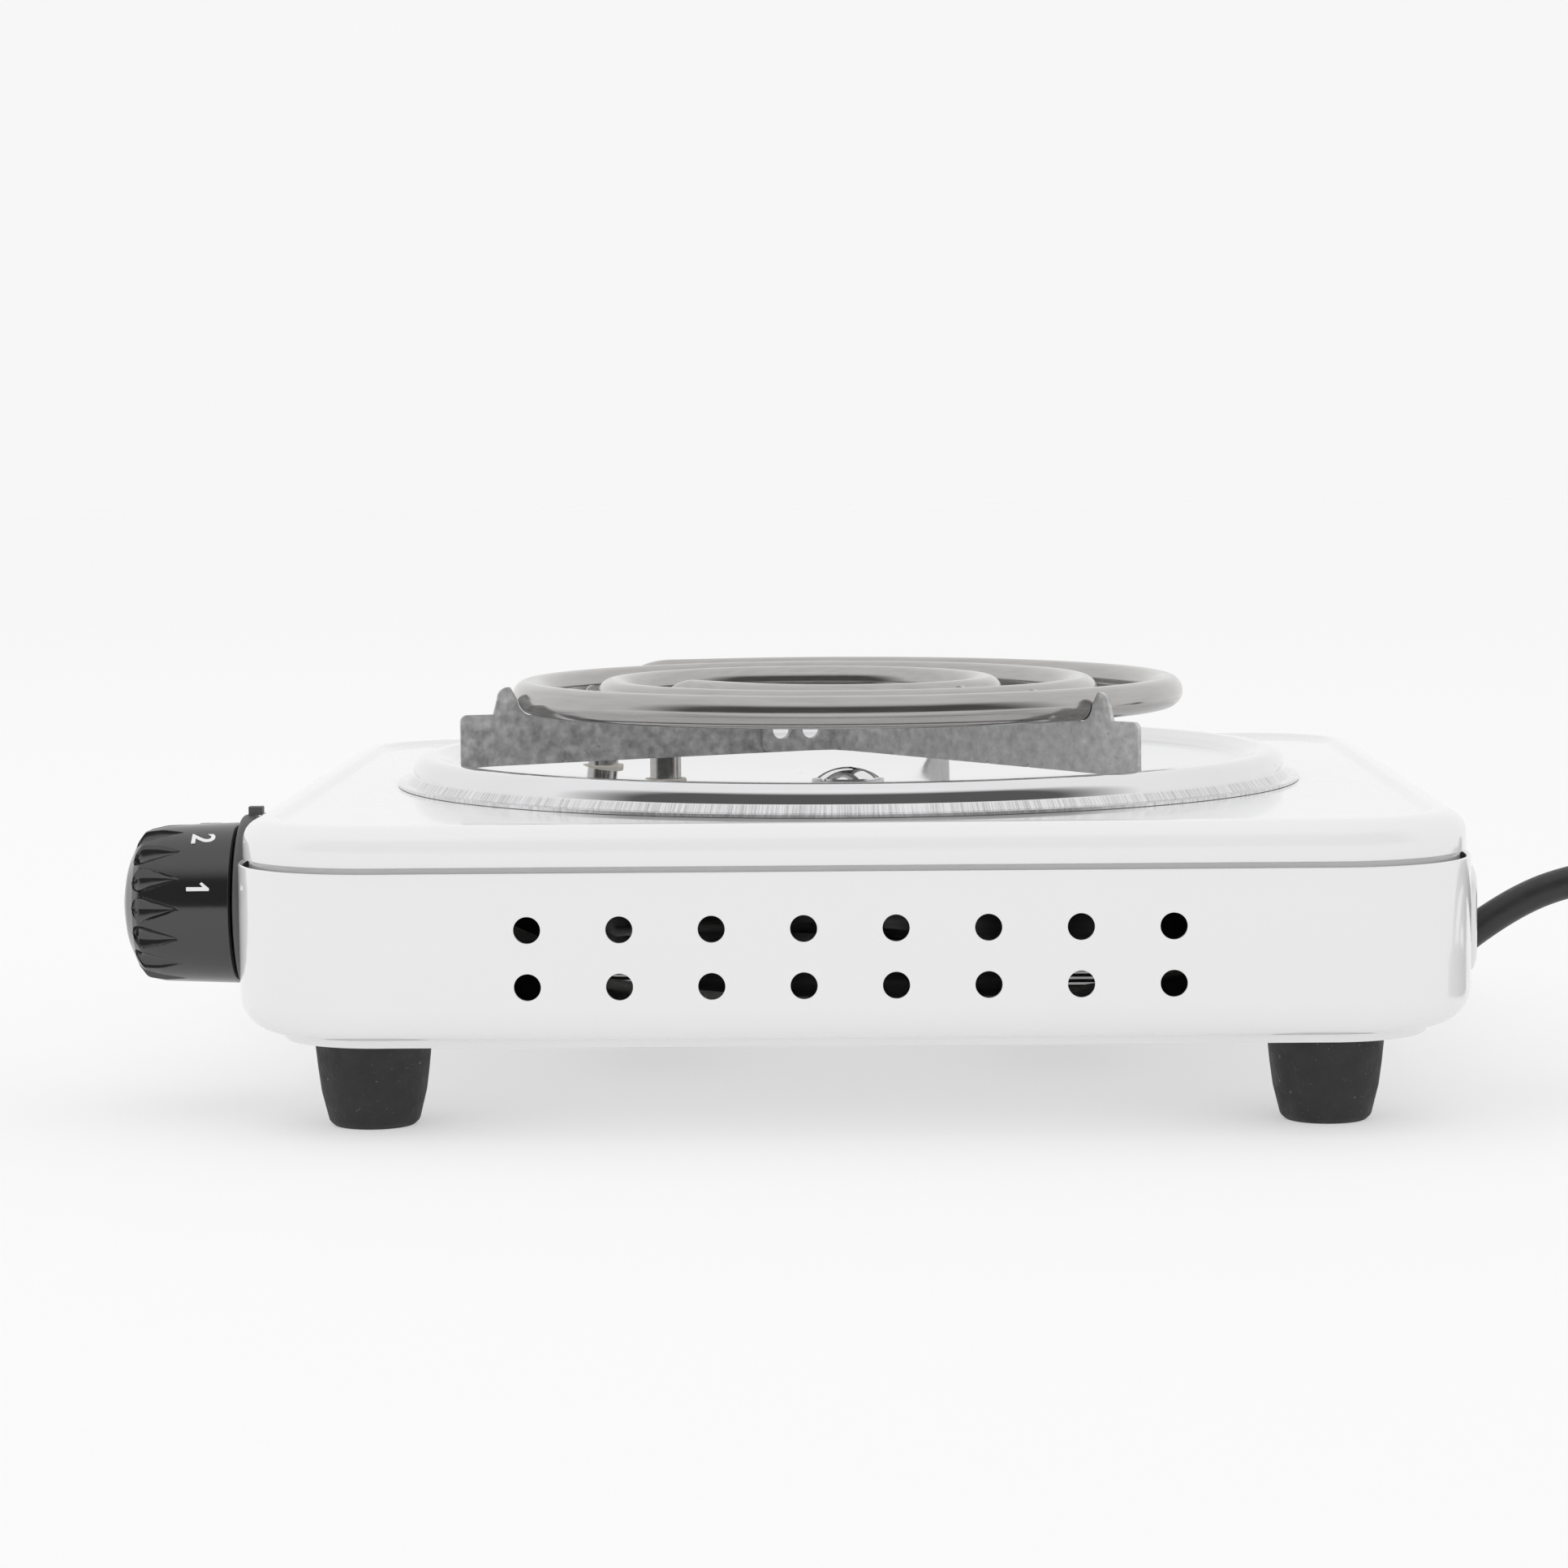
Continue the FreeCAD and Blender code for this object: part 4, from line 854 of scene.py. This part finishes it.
# Straight runs through the spots, with a bend of one radius at each corner.
def bentRoute(spots, radius, step):
    made = [spots[0]]
    for k in range(1, len(spots) - 1):
        here = spots[k]
        before = (spots[k - 1] - here).normalized()
        after = (spots[k + 1] - here).normalized()
        turn = math.pi - before.angle(after)
        reach = radius * math.tan(turn / 2)
        inward = (before + after).normalized()
        middle = here + inward * (radius / math.cos(turn / 2))
        a = here + before * reach - middle
        b = here + after * reach - middle
        count = max(3, int(radius * turn / step) + 1)
        for j in range(count + 1):
            made.append(middle + a.slerp(b, j / count) * radius)
    made.append(spots[-1])
    return made


def coilTree():
    tree, enter, leave = treeWith("heatingTube", [("Radius", "NodeSocketFloat"), ("Sides", "NodeSocketInt"),
                                                  ("Paint", "NodeSocketMaterial")])
    line = tree.nodes.new("GeometryNodeMeshToCurve")
    ring = tree.nodes.new("GeometryNodeCurvePrimitiveCircle")
    sweep = tree.nodes.new("GeometryNodeCurveToMesh")
    sweep.inputs["Fill Caps"].default_value = True
    tree.links.new(enter.outputs["Geometry"], line.inputs["Mesh"])
    tree.links.new(enter.outputs["Radius"], ring.inputs["Radius"])
    tree.links.new(enter.outputs["Sides"], ring.inputs["Resolution"])
    tree.links.new(line.outputs[0], sweep.inputs["Curve"])
    tree.links.new(ring.outputs[0], sweep.inputs["Profile Curve"])
    endTree(tree, sweep.outputs[0], leave, enter, "Paint")
    return tree


def makeCoil(s):
    h = s["height"]
    r1, r2, r3 = s["turns"]
    x1, y1 = s["legs"][0]
    x2, y2 = s["legs"][1]
    reach = math.sqrt(x1 * x1 + y1 * y1 - r3 * r3)
    start = math.degrees(math.atan2(y1, x1) - math.atan2(-reach, r3))
    joint = Vector((r3 * math.cos(math.radians(start)), r3 * math.sin(math.radians(start)), h))
    path = bentRoute([Vector((x1, y1, s["legFoot"])), Vector((x1, y1, h)), joint], s["bend"], s["step"])
    arcs = [(r3, 0, start, 90), ((r3 + r2) / 2, (r3 - r2) / 2, 90, 270), (r2, 0, -90, 90),
            ((r2 + r1) / 2, (r2 - r1) / 2, 90, 270), (r1, 0, -90, 90),
            (s["tail"], r1 - s["tail"], 90, s["tailEnd"])]
    for radius, middle, a0, a1 in arcs:
        count = max(6, int(math.radians(a1 - a0) * radius / s["step"]))
        for j in range(1, count + 1):
            t = math.radians(a0 + (a1 - a0) * j / count)
            path.append(Vector((radius * math.cos(t), middle + radius * math.sin(t), h)))
    end = path[-1]
    t = math.radians(s["tailEnd"] + 90)
    onward = end + Vector((math.cos(t), math.sin(t), 0)) * s["runOn"]
    down = [end, onward, Vector(s["dip"]), Vector((x2, y2, s["elbow"])), Vector((x2, y2, s["legFoot"]))]
    path += bentRoute(down, s["bend"], s["step"])[1:]
    points = [(p.x * mm, p.y * mm + panMiddle.y, p.z * mm) for p in path]
    mesh = bpy.data.meshes.new("heatingTube")
    mesh.from_pydata(points, [(k, k + 1) for k in range(len(points) - 1)], [])
    coil = bpy.data.objects.new("heatingTube", mesh)
    bpy.context.collection.objects.link(coil)
    runTree(coil, coilTree(), {"Radius": s["tube"] / 2 * mm, "Sides": 40, "Paint": coilSteel()})
    shadeBy(coil, 40)
    placed(coil, ["heating_coil_inner", "heating_coil_middle", "heating_coil_outer"])


knobSettings = {"radius": 15.7, "scallops": 16, "firstScallop": 1.5, "scallopFrom": 3.1, "scallopTo": 12.5,
                "scallopWidth": 2.35, "scallopDepth": 1.6, "digits": ("1", "2", "3", "4", "5"),
                "scallopNose": 0.2,  # share of a scallop taken by its round end
                "firstDigit": 16.5, "digitStep": 42.6, "digitHeight": 4.4, "digitsFromSkirt": 6.2,
                "one": [(0.55, -2.2), (0.55, 2.2), (0.05, 2.2), (-1.15, 0.75), (-0.85, 0.35), (-0.2, 1.0),
                        (-0.2, -2.2)]}


def makeKnob(s):
    low, high = boxOf("knob")
    crown, skirt = low.y, high.y
    r = s["radius"]
    length = (skirt - crown) / mm
    outer = softLine([(0, 0.0), (3.5, 0.1, 6), (8.4, 1.15, 12), (12.7, 3.15, 0.35), (14.5, 4.5, 1.6),
                      (15.2, 8.0, 9), (r, length - 0.4, 0.2), (r - 0.3, length)], 8)
    dense = [outer[0]]
    for a, b in zip(outer, outer[1:]):
        parts = 1
        if b[1] > 3.0 and a[1] < s["scallopTo"] + 0.5:
            parts = max(1, round((b[1] - a[1]) / 0.2))
        for j in range(1, parts + 1):
            f = j / parts
            dense.append((a[0] + (b[0] - a[0]) * f, a[1] + (b[1] - a[1]) * f))
    inner = [(13.4, length), (12.9, 7.0), (6, 6.2), (6, length - 1), (3.1, length - 1), (3.1, 5), (0, 5)]
    last = len(dense)

    def scallop(t, k, radius, height):
        along = (height / mm - s["scallopFrom"]) / (s["scallopTo"] - s["scallopFrom"])
        if k >= last or not 0 < along < 1:
            return 0.0
        step = 2 * math.pi / s["scallops"]
        sideways = ((t + math.radians(s["firstScallop"])) / step + 0.5) % 1.0 - 0.5
        sideways *= step * radius / mm
        nose = s["scallopNose"]
        if along < nose:
            shape = math.sqrt(1 - ((nose - along) / nose) ** 2)
        else:
            shape = max(0.0, 1 - ((along - nose) / (1 - nose)) ** 1.35)
        width = s["scallopWidth"] * shape
        if abs(sideways) >= width:
            return 0.0
        return s["scallopDepth"] * mm * shape ** 0.8 * (1 - (sideways / width) ** 2) ** 0.7

    outline = [(x * mm, y * mm) for x, y in dense + inner]
    knob = spun("dialKnob", outline, glossBlack(), (0, 0, 0), count=640, smooth=24, ripple=scallop)
    turn = Matrix.Rotation(math.radians(-90), 4, "X")
    knob.data.transform(Matrix.Translation((knobMiddle.x, crown, knobMiddle.z)) @ turn)
    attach(knob, "dial")
    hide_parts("knob")
    for k, label in enumerate(s["digits"]):
        addDigit(label, s["firstDigit"] + k * s["digitStep"], s, skirt)


digitThick = 0.12  # half of it, in millimetres


def addDigit(label, degrees, s, skirt):
    if label == "1":
        addMark("digit1", s["one"], degrees, skirt, s)
        return
    text = bpy.data.curves.new("digit" + label, "FONT")
    text.body = label
    text.size = s["digitHeight"] * mm / 0.70
    text.align_x = "CENTER"
    text.align_y = "CENTER"
    text.extrude = digitThick * mm
    text.offset = 0.10 * mm
    text.resolution_u = 6
    holder = bpy.data.objects.new("digit" + label, text)
    bpy.context.collection.objects.link(holder)
    graph = bpy.context.evaluated_depsgraph_get()
    mesh = bpy.data.meshes.new_from_object(holder.evaluated_get(graph))
    bpy.data.objects.remove(holder)
    wrapOnKnob(mesh, degrees, s, skirt - s["digitsFromSkirt"] * mm)
    digit = bpy.data.objects.new("digit" + label, mesh)
    bpy.context.collection.objects.link(digit)
    mesh.materials.clear()
    mesh.materials.append(printWhite())
    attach(digit, "dial")


def addMark(name, outline, degrees, skirt, s):
    count = len(outline)
    points = [(x * mm, y * mm, z * mm) for z in (-digitThick, digitThick) for x, y in outline]
    faces = [tuple(range(count, 2 * count)), tuple(reversed(range(count)))]
    faces += [(k, (k + 1) % count, count + (k + 1) % count, count + k) for k in range(count)]
    mark = meshPiece(name, points, faces, printWhite(), recalc=True)
    wrapOnKnob(mark.data, degrees, s, skirt - s["digitsFromSkirt"] * mm)
    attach(mark, "dial")


# Lays a flat print round the dial, its middle at the given angle.
def wrapOnKnob(mesh, degrees, s, along):
    r = (s["radius"] - 0.16) * mm
    for v in mesh.vertices:
        a = math.radians(degrees) - v.co.x / r
        reach = r + v.co.z + 0.02 * mm
        v.co = Vector((knobMiddle.x + reach * math.cos(a), along + v.co.y,
                       knobMiddle.z + reach * math.sin(a)))


footSettings = {"height": 16.9, "bore": 5.2, "boreDepth": 9.0, "screwHole": 2.3}


def makeFeet(s):
    h = s["height"]
    hole = s["screwHole"]
    outline = softLine([(hole, s["boreDepth"]), (s["bore"], s["boreDepth"]), (s["bore"], 0.0),
                        (7.6, 0.0, 0.5), (8.6, 0.9, 1.5), (10.0, 6.5, 8), (10.6, 11.0, 10), (11.1, h - 1.0),
                        (11.15, h - 0.9), (12.5, h - 0.8, 0.15), (12.6, h), (hole, h)], 8)
    for front in ("front", "rear"):
        for side in ("left", "right"):
            name = "foot_" + front + "_" + side
            c = middleOf(name)
            foot = spun("rubberFoot." + front + "." + side, [(r * mm, z * mm) for r, z in outline],
                        footRubber(), (c.x, c.y, 0), count=96, smooth=30)
            placed(foot, name)


# Hidden pieces and small hardware keep their own shape and only take a finish.
keptFinishes = {
    "zincBright": ["pan_bridge", "thermostat_bracket", "foot_washers", "center_washer", "center_spacer",
                   "center_nut", "earth_nut", "earth_tag", "foot_screws", "earth_screw", "bracket_screws",
                   "lever_pivot", "dial_shaft", "cover_post_front_left", "cover_post_front_right",
                   "cover_post_rear_left",
                   "cover_post_rear_right"],
    "shieldSheet": ["heat_shield"],
    "rawCeramic": ["coil_insulator_1", "coil_insulator_2", "thermostat_base"],
    "bushBrass": ["coil_terminal_1", "coil_terminal_2", "thermostat_terminals", "contact_lever",
                  "shaft_bush", "bimetal_strip"],
    "lensRed": ["pilot_lens"],
    "lampGlass": ["pilot_lamp"],
    "sleeveWhite": ["live_wire", "switched_wire"],
    "sleeveGrey": ["neutral_wire"],
    "wireGreen": ["earth_wire"],
}


def paint(node, material):
    piece = nodes[node]
    if not piece.material_slots:
        piece.data.materials.append(material)
    for slot in piece.material_slots:
        slot.material = material


def paintKept():
    for name, kept in keptFinishes.items():
        for node in kept:
            paint(node, plain(name))
    for k in (1, 2, 3):
        paint("support_arm_" + str(k), zincStrip())
    paint("center_screw", mirrorChrome())
    paint("dial_bezel", plain("bezelGrey"))
    for node in ("bezel_seal", "cord_bushing", "plug_body", "cord_tie"):
        paint(node, matteBlack())
    for node in ("plug_pins", "plug_earth_clips"):
        paint(node, plain("zincBright"))


bpy.context.scene.view_settings.view_transform = "Standard"
makeCamera(cameraSettings)
makeStudio(studioSettings)
print("camera and studio ready")
makeCord(cordSettings)
print("mains lead laid")
makeCover(coverSettings)
makeCase(caseSettings)
print("case and cover pressed")
makePan(panSettings)
makeCoil(coilSettings)
print("pan and coil made")
makeKnob(knobSettings)
makeFeet(footSettings)
paintKept()
print("dial, feet and kept pieces finished")
